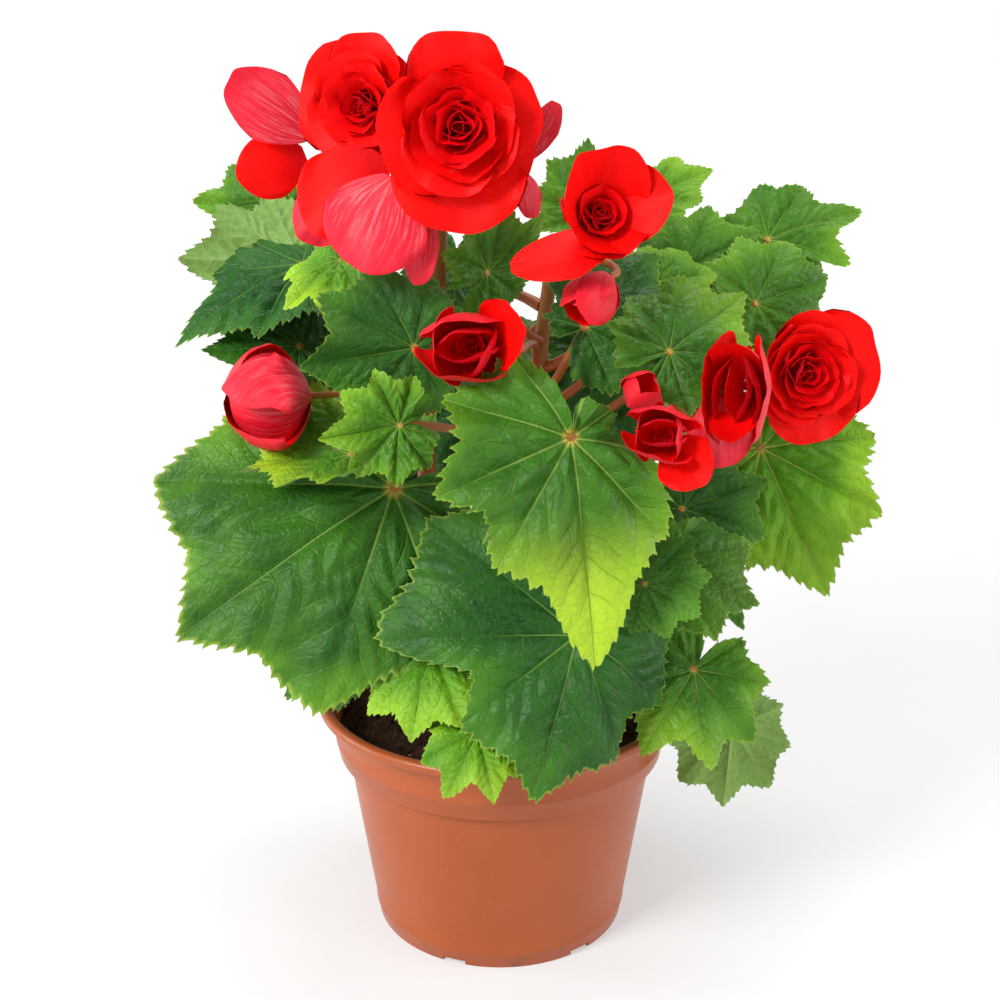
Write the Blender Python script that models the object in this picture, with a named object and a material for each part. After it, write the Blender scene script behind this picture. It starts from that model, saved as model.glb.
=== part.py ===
"""A begonia in a plastic nursery pot: pot, compost, stems, leaves and double flowers as separate solids.

The origin is at the centre of the pot's base, +Z is up and -Y is the side the plant shows best.
Lengths below are in millimetres and angles in degrees; MM turns them into Blender's metres.
"""

import math
from collections import namedtuple

import bmesh
import bpy
from mathutils import Matrix, Vector

MM = 0.001
GAP = 0.3  # clearance left between pieces that touch

# Pot ---------------------------------------------------------------------------------------
POT_HEIGHT = 93.5
RIM_RADIUS = 70.0
BASE_RADIUS = 48.5
SHOULDER_RADIUS = 59.0  # body, just under the band
BAND_LOW_RADIUS = 62.6
BAND_TOP_RADIUS = 65.2
BAND_LOW_Z = 70.5
RIM_INNER_RADIUS = 66.0
RIM_DEPTH = 4.2
WALL = 1.6
FOOT_RADIUS = 44.5  # inside of the ring the pot stands on
FOOT_HEIGHT = 3.0
CENTRE_PAD_RADIUS = 9.0  # level with the ring, in the middle of the underside
FLOOR_TOP = 4.6
POT_SEGMENTS = 40
DRAIN_HOLES = 6
DRAIN_RADIUS = 4.0
DRAIN_CIRCLE = 30.0
DRAIN_SIDES = 8
FOOT_NOTCHES = 6
FOOT_NOTCH_WIDTH = 9.0
FOOT_NOTCH_HEIGHT = 2.0
FOOT_NOTCH_TURN = -51.0  # degrees from +X of the first one

# Compost -----------------------------------------------------------------------------------
SOIL_TOP = 80.0
SOIL_MOUND = 3.0
SOIL_SEGMENTS = 40

# Stems and flower stalks -------------------------------------------------------------------
STEM_STEPS = 3
STEM_SIDES = 8
STALK_RADIUS = 1.5
STALK_STEPS = 5
STALK_SIDES = 5

# Leaves ------------------------------------------------------------------------------------
LEAF_THICKNESS = 0.8
PETIOLE_RADIUS = 1.7
PETIOLE_CLEARANCE = 1.2  # from the stem to the middle of the petiole's end
PETIOLE_SIDES = 4
PETIOLE_STEPS = 4
SHOULDER_ANGLE = 40.0  # from the midrib, where a half has its full width
BACK_ANGLES = (55.0, 85.0)  # where the lobes next to the petiole start, and count in full
# Outline of a blade seen from above: angle from the midrib, reach as a share of the length.
BLADE_OUTLINE = (
    (0, 1.00), (18, 0.78), (38, 0.84), (56, 0.66), (75, 0.74), (95, 0.58),
    (115, 0.63), (135, 0.50), (155, 0.50), (171, 0.30), (180, 0.13),
)

# Flowers -----------------------------------------------------------------------------------
PETAL_THICKNESS = 0.6
PETAL_STEP = 1.1  # how far each open petal lies behind the one before
PETAL_ROOT = 0.1  # where a petal starts, as a share of the flower's radius
PETAL_ACROSS = 6
PETAL_ALONG = 5
HEART_HEIGHT = 0.75
HEART_SEGMENTS = 12
BLOOM_SEGMENTS = 12
BLOOM_FLUTES = 4

Stem = namedtuple("Stem", "name path radii")
Leaf = namedtuple(
    "Leaf",
    "name at heading pitch roll length left right droop sides stem drop left_back right_back",
    defaults=(1.0, 1.0),
)
Flower = namedtuple("Flower", "name at azimuth elevation radius petals depth heart")
Petal = namedtuple("Petal", "name at azimuth elevation roll length width cup")
Bloom = namedtuple("Bloom", "name at azimuth elevation length radius mouth")

# Each stem runs from inside the compost to the flowers it carries.
STEMS = (
    Stem("stem_left", ((-6, 2, 66), (-9, 0, 100), (-22, -6, 150), (-27, -10, 195), (-22, -14, 240),
                       (-20, -22, 278)), (4.6, 2.6)),
    Stem("stem_centre", ((8, 8, 66), (10, 9, 110), (12, 9, 165), (14, 9, 215), (18, 8, 250)),
         (4.8, 2.6)),
    Stem("stem_right", ((20, 2, 66), (30, 4, 105), (42, 6, 150), (58, 2, 190), (80, -16, 212)),
         (4.4, 2.4)),
    Stem("stem_back", ((4, 24, 66), (4, 32, 110), (2, 40, 165), (-6, 44, 215)), (4.6, 2.6)),
)

# Stalks: the stem each grows from, the height it leaves it at (or the flower whose stalk it
# leaves), and the flower it carries.
STALKS = (
    ("stem_left", 268, "rose_top"),
    ("stem_left", 255, "rose_left"),
    ("stem_left", 245, "petal_under_large"),
    ("stem_left", 196, "bud_left"),
    ("stem_centre", 244, "bloom_upper_right"),
    ("stem_centre", "bloom_upper_right", "bloom_side"),
    ("stem_centre", 205, "bloom_centre"),
    ("stem_right", 170, "bloom_right_small"),
    ("stem_right", 206, "rose_right"),
    ("stem_right", 200, "bloom_right_half"),
)

# at: where the petiole meets the blade. heading, pitch: where the tip points. roll: the blade's turn
# about its midrib. left, right: width of each half, as a share of the usual. droop, sides: how far
# the tip and the two halves bend down. stem, drop: the stem it grows from, and how far below.
# left_back, right_back: size of the lobes next to the petiole, as a share of the usual.
LEAVES = (
    Leaf("leaf_front_centre", (22, -86, 217), -65, -68, 7, 74, 0.72, 0.78, 20, 25, "stem_centre",
         22, 0.5, 1.15),
    Leaf("leaf_front_low", (26, -64, 142), -113, -55, -41, 58, 0.92, 1.0, 18, 27, "stem_centre", 30,
         1.25, 1.8),
    Leaf("leaf_left_low", (-36.7, -36.2, 185.1), -152, -24, -52, 92, 1.05, 1.1, 30, 21, "stem_left",
         10, 0.6, 0.6),
    Leaf("leaf_left_curled", (-50.4, -42.5, 199.2), -165, -1, -16, 40, 1.1, 1.1, 20, -30,
         "stem_left", -10, 1.16, 0.93),
    Leaf("leaf_left_young", (-32, -69, 216.2), -165, -6, -75, 27, 1, 1, 20, 10, "stem_centre", 29),
    Leaf("leaf_left_round", (-28, -45.8, 236.4), -151, -3, -76, 40, 1, 1.1, 15, 25, "stem_left", 5),
    Leaf("leaf_left_yellow", (-54, -23, 262), -153, -30, -21, 26, 1.1, 1.1, 20, 25, "stem_left", 30),
    Leaf("leaf_left_dark", (-72.6, 5.5, 226.1), -159, 3, -47, 36, 1, 1, 10, -20, "stem_left", 16),
    Leaf("leaf_left_pale", (-77, 44, 250), -167, 2, 128, 46, 1.0, 1.0, 10, 10, "stem_back", 20),
    Leaf("leaf_left_upper", (-71.6, 13, 255.2), -157, -18, -20, 55, 0.8, 0.8, 25, 30, "stem_left", 40),
    Leaf("leaf_left_top", (-82, 69, 268), -171, 6, -50, 40, 1, 1, 15, 25, "stem_centre", 28),
    Leaf("leaf_middle_top", (-4, -27, 258), 24, 39, 109, 30, 1.1, 1.1, 15, 15, "stem_centre", 30),
    Leaf("leaf_peak", (31, 15, 272), 83, 64, 24, 30, 1.0, 1.0, 10, 15, "stem_centre", 24),
    Leaf("leaf_peak_right", (57, 45, 274), -8, 37, 45, 26, 1.0, 1.0, 25, 25, "stem_back", 40),
    Leaf("leaf_centre_dark", (29.2, -24, 239.1), 39, 34, 44, 43, 1.1, 1, 7, 21, "stem_centre", 31,
         0.5, 0.95),
    Leaf("leaf_right_pleated", (54.2, -3.6, 251.5), -15, -19, 43, 25, 1.2, 1.2, 15, 25,
         "stem_centre", 34),
    Leaf("leaf_right_inner", (67, 16, 252), 12, 27, 60, 33, 1.0, 1.0, 10, 20, "stem_centre", 50),
    Leaf("leaf_right_peak", (101, 39, 260), 9, 21, 43, 41, 1, 1, 15, 30, "stem_right", 62),
    Leaf("leaf_right_upper", (92, 4, 242), 23, 15, 62, 34, 1.1, 1.1, 15, 20, "stem_centre", 54),
    Leaf("leaf_right_light", (55.1, -51.2, 236.4), 32, 28, 47, 37, 1, 1, 15, 25, "stem_right", 34),
    Leaf("leaf_right_big", (96, 0.3, 188.9), -53, -52, 44, 60, 1, 0.9, 25, 30, "stem_back", 48),
    Leaf("leaf_right_dark", (65, -22, 173), 8, 18, 43, 34, 1.1, 1.1, 15, 25, "stem_right", 14),
    Leaf("leaf_right_mid", (57.6, -47.2, 162.8), -11, -21, 46, 36, 1.1, 1.1, 15, 25, "stem_right",
         20, 0.7, 0.7),
    Leaf("leaf_front_grey", (47, -76, 165), -17, 16, 59, 22, 1.2, 1.2, 10, 15, "stem_centre", -10),
    Leaf("leaf_right_low", (69, -41, 119), -131, -36, -33, 38, 1.2, 1.2, 15, 20, "stem_right", 10),
    Leaf("leaf_right_hanging", (87, -20, 86), -118, -78, 149, 32, 1.1, 1.1, 15, 20,
         "stem_right", -16),
    Leaf("leaf_low_left", (-23, -58, 134), -113, -41, 2, 33, 1.2, 1.2, 25, 25, "stem_left", 30),
    Leaf("leaf_rim", (-7, -75, 112), -72, -46, 9, 26, 1.2, 1.2, 25, 25, "stem_centre", 10),
    Leaf("leaf_back_left", (-46, 62, 205), 128, -20, 0, 66, 1.0, 1.0, 25, 30, "stem_back", 26),
    Leaf("leaf_back_middle", (5.8, 81.6, 217.9), 84, -28, 4, 72, 1, 1, 25, 30, "stem_back", 36),
    Leaf("leaf_back_right", (60, 66, 190), 44, -22, -4, 68, 1.0, 1.0, 25, 30, "stem_back", 30),
    Leaf("leaf_back_low_left", (-40, 56, 134), 140, -35, 4, 62, 1.0, 1.0, 25, 30, "stem_back", 20),
    Leaf("leaf_back_low_right", (30, 66, 138), 62, -34, 0, 66, 1.0, 1.0, 25, 30, "stem_back", 24),
)

# Double flowers with a ring of open petals. at is the base, azimuth and elevation say where it
# faces, petals are (name, degrees clockwise from the top, width as a share of the radius), depth is
# how far forward their tips come, and heart is the radius of the middle as a share of the whole.
FLOWERS = (
    Flower("rose_top", (-12, -50, 307), -92, 6, 29,
           (("top", 5, 1.2), ("right", 70, 1.15), ("low", 175, 1.3), ("left", 265, 1.2)), 7, 0.60),
    Flower("rose_left", (-42, -26, 312), -112, 4, 22, (("top", 10, 1.2), ("left", 285, 1.3)), 7, 0.62),
    Flower("rose_right", (104.6, -12, 221.4), -78, 4, 27,
           (("left", 265, 1.2), ("top", 50, 1.5), ("low", 170, 1.4)), 9, 0.55),
)

# Petals that stand on their own: the outer petals of the flower that faces down and away on the left.
PETALS = (
    Petal("petal_left_upper", (-62.7, -19.8, 302.6), 202, 37, -75, 32, 25, 0.15),
    Petal("petal_left_red", (-65, -19, 296.5), 205, -18, -80, 24, 22, 0.15),
    Petal("petal_under_large", (-33, -50, 291.5), 206, -62, -60, 31, 36, 0.15),
)

# Half-open flowers and buds: at is the base, length and radius are the whole bloom's, and mouth is
# how wide it has opened, as a share of the radius.
BLOOMS = (
    Bloom("bloom_upper_right", (28.9, -49.4, 277.3), -70, 32, 32, 17, 0.8),
    Bloom("bloom_side", (34.9, -51.3, 260.8), -158, -5, 30, 9, 0.3),
    Bloom("bloom_centre", (-6.1, -68, 240.1), -130, 25, 26, 15, 0.5),
    Bloom("bud_left", (-65.3, -31.7, 216.7), -150, 5, 30, 15, 0.1),
    Bloom("bloom_right_small", (51.4, -81.7, 216), -130, 24, 22, 11, 0.6),
    Bloom("bloom_right_half", (79.3, -60.8, 227.3), -120, 15, 24, 16, 0.8),
)


def clear_scene():
    for existing in list(bpy.data.objects):
        bpy.data.objects.remove(existing)


def material(name, colour, roughness):
    made = bpy.data.materials.new(name)
    made.use_nodes = True
    shader = made.node_tree.nodes["Principled BSDF"]
    shader.inputs["Base Color"].default_value = (*colour, 1.0)
    shader.inputs["Roughness"].default_value = roughness
    shader.inputs["Metallic"].default_value = 0.0
    return made


def add_object(name, vertices, faces, finish, smooth_angle=40.0):
    """A mesh object from points in millimetres, with its faces turned outwards."""
    mesh = bpy.data.meshes.new(name)
    mesh.from_pydata([Vector(v) * MM for v in vertices], [], faces)
    work = bmesh.new()
    work.from_mesh(mesh)
    bmesh.ops.recalc_face_normals(work, faces=work.faces)
    work.to_mesh(mesh)
    work.free()
    mesh.shade_smooth()
    mesh.set_sharp_from_angle(angle=math.radians(smooth_angle))
    mesh.materials.append(finish)
    made = bpy.data.objects.new(name, mesh)
    bpy.context.scene.collection.objects.link(made)
    return made


def add_boolean(target, other, operation):
    """Joins other to target, or cuts it away, and keeps other as a helper that isn't shown."""
    modifier = target.modifiers.new(operation.lower() + "_" + other.name, "BOOLEAN")
    modifier.operation = operation
    modifier.object = other
    modifier.solver = "EXACT"
    other.hide_render = True
    other.display_type = "WIRE"


def add_thickness(target, thickness):
    """Gives an open surface its thickness, on the side away from its normals."""
    modifier = target.modifiers.new("thickness", "SOLIDIFY")
    modifier.thickness = thickness * MM
    modifier.offset = -1.0


def capped_turn(profile, segments):
    """Vertices and faces of a (radius, height) profile turned about Z, which starts and ends on it."""
    inner = profile[1:-1]
    count = len(inner)
    vertices = [
        (radius * math.cos(turn), radius * math.sin(turn), height)
        for turn in (math.tau * i / segments for i in range(segments))
        for radius, height in inner
    ]
    faces = [
        (i * count + j, ((i + 1) % segments) * count + j,
         ((i + 1) % segments) * count + j + 1, i * count + j + 1)
        for i in range(segments)
        for j in range(count - 1)
    ]
    low, high = len(vertices), len(vertices) + 1
    vertices += [(0, 0, profile[0][1]), (0, 0, profile[-1][1])]
    for i in range(segments):
        after = (i + 1) % segments
        faces.append((low, after * count, i * count))
        faces.append((high, i * count + count - 1, after * count + count - 1))
    return vertices, faces


def smooth_path(points, steps):
    """Points on a Catmull-Rom curve through the given ones, with steps to each span."""
    given = [Vector(p) for p in points]
    ends = [2 * given[0] - given[1], *given, 2 * given[-1] - given[-2]]
    path = []
    for i in range(1, len(ends) - 2):
        before, start, end, after = ends[i - 1 : i + 3]
        for step in range(steps):
            t = step / steps
            path.append(
                0.5 * (2 * start + (end - before) * t
                       + (2 * before - 5 * start + 4 * end - after) * t ** 2
                       + (3 * start - before - 3 * end + after) * t ** 3)
            )
    return path + [given[-1]]


def tube(path, radii, sides):
    """Vertices and faces of a closed tube along a path, with a radius for each of its points."""
    vertices = []
    side = (path[1] - path[0]).orthogonal().normalized()
    for i, point in enumerate(path):
        along = (path[min(i + 1, len(path) - 1)] - path[max(i - 1, 0)]).normalized()
        side = (side - side.dot(along) * along).normalized()
        across = along.cross(side)
        for k in range(sides):
            turn = math.tau * k / sides
            vertices.append(point + radii[i] * (math.cos(turn) * side + math.sin(turn) * across))
    faces = [
        (i * sides + k, i * sides + (k + 1) % sides,
         (i + 1) * sides + (k + 1) % sides, (i + 1) * sides + k)
        for i in range(len(path) - 1)
        for k in range(sides)
    ]
    faces.append(tuple(reversed(range(sides))))
    faces.append(tuple(range(len(vertices) - sides, len(vertices))))
    return vertices, faces


def taper(count, start, end):
    """Radii for a tube that narrows evenly."""
    return [start + (end - start) * i / (count - 1) for i in range(count)]


def pointing(heading, pitch):
    """The unit vector at this heading from +X towards +Y, and this angle above the horizon."""
    turn, rise = math.radians(heading), math.radians(pitch)
    return Vector((math.cos(rise) * math.cos(turn), math.cos(rise) * math.sin(turn), math.sin(rise)))


def frame_of(at, heading, pitch, roll):
    """Local X along the heading and pitch, local Z the upper side, turned by roll about X."""
    forward = pointing(heading, pitch)
    upward = Vector((0, 0, 1))
    upward = (upward - upward.dot(forward) * forward).normalized()
    upward = Matrix.Rotation(math.radians(roll), 3, forward) @ upward
    sideways = upward.cross(forward)
    turn = Matrix((forward, sideways, upward)).transposed()
    return Matrix.Translation(Vector(at)) @ turn.to_4x4()


def bend(distance, degrees, reach):
    """(along, down) of a point this far out on a sheet that bends by so many degrees over its reach."""
    if abs(degrees) < 0.01:
        return distance, 0.0
    radius = reach / math.radians(degrees)
    return radius * math.sin(distance / radius), -radius * (1 - math.cos(distance / radius))


def ease(share):
    """0 to 1, with a smooth start and end."""
    share = min(max(share, 0.0), 1.0)
    return share * share * (3 - 2 * share)


def blade_reach(leaf, angle):
    """How far the blade reaches at an angle from its midrib, positive to the left."""
    off = abs(angle)
    for (low, near), (high, far) in zip(BLADE_OUTLINE, BLADE_OUTLINE[1:]):
        if off <= high:
            share = near + (far - near) * (off - low) / (high - low)
            break
    width, back = (leaf.left, leaf.left_back) if angle > 0 else (leaf.right, leaf.right_back)
    share *= 1 + (width - 1) * ease(off / SHOULDER_ANGLE)
    share *= 1 + (back - 1) * ease((off - BACK_ANGLES[0]) / (BACK_ANGLES[1] - BACK_ANGLES[0]))
    return leaf.length * share


def blade_point(leaf, angle, share):
    """A point of the blade in its own frame, at a share of the way from the petiole to the edge."""
    reach = blade_reach(leaf, angle) * share
    along = reach * math.cos(math.radians(angle))
    across = reach * math.sin(math.radians(angle))
    along, down = bend(along, leaf.droop, leaf.length)
    across, fall = bend(across, leaf.sides, leaf.length * 0.7)
    return Vector((along, across, down + fall))


def blade_surface(leaf):
    """Vertices and faces of the blade's upper side, in the object's frame."""
    angles = [a for a, _ in BLADE_OUTLINE]
    angles = [-a for a in reversed(angles[1:])] + angles[:-1]
    place = frame_of(leaf.at, leaf.heading, leaf.pitch, leaf.roll)
    vertices = [place @ Vector((0, 0, 0))]
    for share in (0.5, 1.0):
        vertices += [place @ blade_point(leaf, angle, share) for angle in angles]
    count = len(angles)
    faces = [(0, 1 + i, 1 + (i + 1) % count) for i in range(count)]
    faces += [
        (1 + i, 1 + count + i, 1 + count + (i + 1) % count, 1 + (i + 1) % count)
        for i in range(count)
    ]
    return vertices, faces


def stem_point(stem, height):
    """Centre and radius of a stem at a height."""
    path = smooth_path(stem.path, STEM_STEPS)
    height = min(max(height, path[0].z), path[-1].z)
    for i, (low, high) in enumerate(zip(path, path[1:])):
        if low.z <= height <= high.z:
            share = (height - low.z) / (high.z - low.z)
            along = (i + share) / (len(path) - 1)
            radius = stem.radii[0] + (stem.radii[1] - stem.radii[0]) * along
            return low.lerp(high, share), radius
    return path[-1], stem.radii[1]


def petiole_path(leaf, stems):
    """The stalk's centre line, from just off its stem to the blade."""
    place = frame_of(leaf.at, leaf.heading, leaf.pitch, leaf.roll)
    end = place @ Vector((0, 0, 0.0))
    forward = place.to_3x3() @ Vector((1, 0, 0))
    upper = place.to_3x3() @ Vector((0, 0, 1))
    centre, radius = stem_point(stems[leaf.stem], leaf.at[2] - leaf.drop)
    outward = (end - centre) * Vector((1, 1, 0))
    outward.normalize()
    start = centre + outward * (radius + PETIOLE_CLEARANCE)
    span = (end - start).length
    first = start + (outward + Vector((0, 0, 0.4))) * span * 0.3
    second = end - (forward * 0.45 + upper * 0.9) * span * 0.28
    return curve(start, first, second, end, PETIOLE_STEPS)


def add_leaf(leaf, stems, finish):
    blade = add_object(leaf.name, *blade_surface(leaf), finish, 60)
    upper = frame_of(leaf.at, leaf.heading, leaf.pitch, leaf.roll).to_3x3() @ Vector((0, 0, 1))
    if blade.data.polygons[0].normal.dot(upper) < 0:
        blade.data.flip_normals()
    add_thickness(blade, LEAF_THICKNESS)
    path = petiole_path(leaf, stems)
    stalk = tube(path, taper(len(path), PETIOLE_RADIUS, PETIOLE_RADIUS * 0.8), PETIOLE_SIDES)
    add_boolean(blade, add_object(leaf.name + "_petiole", *stalk, finish), "UNION")


def curve(start, first, second, end, steps):
    """Points along a cubic Bezier curve."""
    return [
        start * (1 - t) ** 3 + first * 3 * t * (1 - t) ** 2 + second * 3 * t ** 2 * (1 - t) + end * t ** 3
        for t in (step / steps for step in range(steps + 1))
    ]


def flower_named(name):
    return next(flower for flower in FLOWERS + PETALS + BLOOMS if flower.name == name)


def stalk_path(stem, leaves, flower):
    """Up from the stem, or off another stalk, and round to the back of the flower."""
    facing = pointing(flower.azimuth, flower.elevation)
    end = Vector(flower.at) - facing * GAP * 1.8
    if isinstance(leaves, str):
        height = next(height for _, height, carried in STALKS if carried == leaves)
        start = stalk_path(stem, height, flower_named(leaves))[-3]
        span = (end - start).length
        first, handle = start.lerp(end, 0.3), 0.28
    else:
        start, _ = stem_point(stem, leaves)
        span = (end - start).length
        first, handle = start + Vector((0, 0, 0.45)) * span, 0.35
    return curve(start, first, end - facing * span * handle, end, STALK_STEPS)


def add_stem(stem, finish):
    """A stem with the flower stalks that branch from it."""
    path = smooth_path(stem.path, STEM_STEPS)
    main = add_object(stem.name, *tube(path, taper(len(path), *stem.radii), STEM_SIDES), finish)
    for name, leaves, carried in STALKS:
        if name == stem.name:
            line = stalk_path(stem, leaves, flower_named(carried))
            branch = tube(line, taper(len(line), STALK_RADIUS, STALK_RADIUS * 0.8), STALK_SIDES)
            add_boolean(main, add_object(f"{carried}_stalk", *branch, finish), "UNION")
    return main


def petal_half_width(share):
    """Half the width of a petal at a share of its length, as a share of its full width."""
    return 0.5 * math.sin(math.pi * share ** 1.35) ** 0.5


def petal_grid(along, across, place_point):
    """Vertices and faces of a petal, narrow at its base and closed round at its tip."""
    shares = [0.02 + 0.96 * i / along for i in range(along + 1)]
    vertices = [
        place_point(share, petal_half_width(share) * (2 * j / across - 1))
        for share in shares
        for j in range(across + 1)
    ]
    width = across + 1
    faces = [
        (i * width + j, i * width + j + 1, (i + 1) * width + j + 1, (i + 1) * width + j)
        for i in range(along)
        for j in range(across)
    ]
    return vertices, faces


def add_open_petal(flower, number, finish):
    """One petal of a double flower, each lying a little behind the one before."""
    name, turn, width = flower.petals[number]
    place = frame_of(flower.at, flower.azimuth, flower.elevation, 0)
    turn = math.radians(turn)
    outward = Vector((0, math.sin(turn), math.cos(turn)))
    sideways = Vector((0, math.cos(turn), -math.sin(turn)))
    inner = flower.radius * PETAL_ROOT

    def place_point(share, side):
        flat = outward * (inner + (flower.radius - inner) * share)
        flat += sideways * side * width * flower.radius
        forward = flower.depth * (flat.length / flower.radius) ** 1.3 - PETAL_STEP * number
        return place @ (flat + Vector((forward, 0, 0)))

    petal = add_object(
        f"{flower.name}_petal_{name}", *petal_grid(PETAL_ALONG, PETAL_ACROSS, place_point), finish, 60
    )
    if petal.data.polygons[0].normal.dot(pointing(flower.azimuth, flower.elevation)) < 0:
        petal.data.flip_normals()
    add_thickness(petal, PETAL_THICKNESS)


def add_heart(flower, finish):
    """The packed inner petals of a double flower, as one solid standing on the open petals."""
    reach = flower.heart * flower.radius

    def dish(radial):
        return flower.depth * (radial / flower.radius) ** 1.3 + GAP

    height = dish(reach) + reach * HEART_HEIGHT
    profile = [
        (0, dish(0)),
        (reach * 0.45, dish(reach * 0.45)),
        (reach * 0.85, dish(reach * 0.85)),
        (reach, dish(reach) + reach * 0.12),
        (reach * 0.96, dish(reach) + reach * 0.38),
        (reach * 0.78, height * 0.97),
        (reach * 0.45, height),
        (0, height * 0.9),
    ]
    vertices, faces = capped_turn(profile, HEART_SEGMENTS)
    place = frame_of(flower.at, flower.azimuth, flower.elevation, 0)
    add_object(
        flower.name + "_heart", [place @ Vector((z, x, y)) for x, y, z in vertices], faces, finish, 50
    )


def add_free_petal(petal, finish):
    """A petal that curls up towards both edges and its tip."""
    place = frame_of(petal.at, petal.azimuth, petal.elevation, petal.roll)

    def place_point(share, side):
        across = side * petal.width
        rise = petal.cup * petal.length * share ** 2 + petal.cup * across * across / petal.width * 2
        return place @ Vector((petal.length * share, across, rise))

    made = add_object(petal.name, *petal_grid(PETAL_ALONG, PETAL_ACROSS, place_point), finish, 60)
    add_thickness(made, PETAL_THICKNESS)


def add_bloom(bloom, finish):
    """A bud or half-open flower as one closed solid, fluted where its petals overlap."""
    mouth = max(bloom.mouth, 0.12)
    shares = ((0.0, 0.0), (0.0, 0.22), (0.14, 0.62), (0.36, 0.94), (0.62, 1.0),
              (0.86, 0.35 + 0.65 * mouth), (1.0, mouth), (0.94 - 0.2 * mouth, mouth * 0.7),
              (0.9 - 0.25 * mouth, 0.0))
    profile = [(radius * bloom.radius, along * bloom.length) for along, radius in shares]
    vertices, faces = capped_turn(profile, BLOOM_SEGMENTS)
    place = frame_of(bloom.at, bloom.azimuth, bloom.elevation, 0)
    points = []
    for x, y, z in vertices:
        flute = 1 + 0.07 * math.cos(BLOOM_FLUTES * math.atan2(y, x))
        points.append(place @ Vector((z, x * flute, y * flute)))
    add_object(bloom.name, points, faces, finish, 50)


def inner_wall():
    """(radius, height) up the inside of the pot, from its floor to the lip."""
    return (
        (BASE_RADIUS - WALL + 0.4, FLOOR_TOP),
        (SHOULDER_RADIUS - WALL - 0.5, BAND_LOW_Z - 4.0),
        (BAND_LOW_RADIUS - WALL, BAND_LOW_Z + 1.0),
        (BAND_TOP_RADIUS - WALL, POT_HEIGHT - RIM_DEPTH - 1.0),
    )


def add_pot(finish):
    rim_low = POT_HEIGHT - RIM_DEPTH
    outside = (
        (FOOT_RADIUS, FOOT_HEIGHT),
        (FOOT_RADIUS + 0.6, 0.0),
        (BASE_RADIUS - 0.6, 0.0),
        (BASE_RADIUS, 0.8),
        (SHOULDER_RADIUS, BAND_LOW_Z - 0.8),
        (BAND_LOW_RADIUS - 0.5, BAND_LOW_Z - 0.2),
        (BAND_LOW_RADIUS, BAND_LOW_Z + 0.6),
        (BAND_TOP_RADIUS, rim_low - 0.6),
        (RIM_RADIUS - 2.0, rim_low),
        (RIM_RADIUS, rim_low + 1.5),
        (RIM_RADIUS, rim_low + 2.6),
        (RIM_RADIUS - 1.2, POT_HEIGHT - 0.3),
        (RIM_RADIUS - 2.6, POT_HEIGHT),
        (RIM_INNER_RADIUS, POT_HEIGHT - 1.0),
    )
    pad = ((0, 0.0), (CENTRE_PAD_RADIUS, 0.0), (CENTRE_PAD_RADIUS + 1.0, FOOT_HEIGHT))
    profile = [*pad, *outside, *reversed(inner_wall()), (0, FLOOR_TOP)]
    pot = add_object("pot", *capped_turn(profile, POT_SEGMENTS), finish)
    for number in range(DRAIN_HOLES):
        turn = math.tau * (number + 0.42) / DRAIN_HOLES
        centre = Vector((math.cos(turn), math.sin(turn), 0)) * DRAIN_CIRCLE
        path = [centre + Vector((0, 0, FOOT_HEIGHT - 2)), centre + Vector((0, 0, FLOOR_TOP + 2))]
        hole = add_object(f"drain_{number}", *tube(path, (DRAIN_RADIUS,) * 2, DRAIN_SIDES), finish)
        add_boolean(pot, hole, "DIFFERENCE")
    for number in range(FOOT_NOTCHES):
        turn = math.tau * number / FOOT_NOTCHES + math.radians(FOOT_NOTCH_TURN)
        outward = Vector((math.cos(turn), math.sin(turn), 0))
        sideways = Vector((-outward.y, outward.x, 0)) * FOOT_NOTCH_WIDTH / 2
        corners = [
            outward * radius + sideways * side + Vector((0, 0, height))
            for radius in (FOOT_RADIUS - 2, BASE_RADIUS + 2)
            for side in (-1, 1)
            for height in (-1, FOOT_NOTCH_HEIGHT)
        ]
        box = ((0, 1, 3, 2), (4, 6, 7, 5), (0, 4, 5, 1), (2, 3, 7, 6), (0, 2, 6, 4), (1, 5, 7, 3))
        add_boolean(pot, add_object(f"notch_{number}", corners, box, finish), "DIFFERENCE")


def add_soil(finish):
    """Soil that fills the pot to just under its lip, with a socket round each stem."""
    low, shoulder, band = inner_wall()[:3]
    slope = (BAND_TOP_RADIUS - BAND_LOW_RADIUS) / (POT_HEIGHT - RIM_DEPTH - BAND_LOW_Z)
    edge = band[0] + slope * (SOIL_TOP - band[1]) - GAP
    profile = (
        (0, low[1] + GAP),
        (low[0] - GAP, low[1] + GAP),
        (shoulder[0] - GAP, shoulder[1] + 0.1),
        (band[0] - GAP, band[1]),
        (edge, SOIL_TOP),
        (edge * 0.66, SOIL_TOP + SOIL_MOUND * 0.6),
        (edge * 0.33, SOIL_TOP + SOIL_MOUND),
        (0, SOIL_TOP + SOIL_MOUND),
    )
    soil = add_object("soil", *capped_turn(profile, SOIL_SEGMENTS), finish)
    for stem in STEMS:
        path = smooth_path(stem.path, STEM_STEPS)
        radii = [radius + GAP * 1.1 for radius in taper(len(path), *stem.radii)]
        along = (path[1] - path[0]).normalized()
        line = [path[0] - along * GAP, *path[1 : STEM_STEPS + 1]]
        socket = tube(line, radii[: STEM_STEPS + 1], STEM_SIDES)
        add_boolean(soil, add_object(stem.name + "_socket", *socket, finish), "DIFFERENCE")


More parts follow.
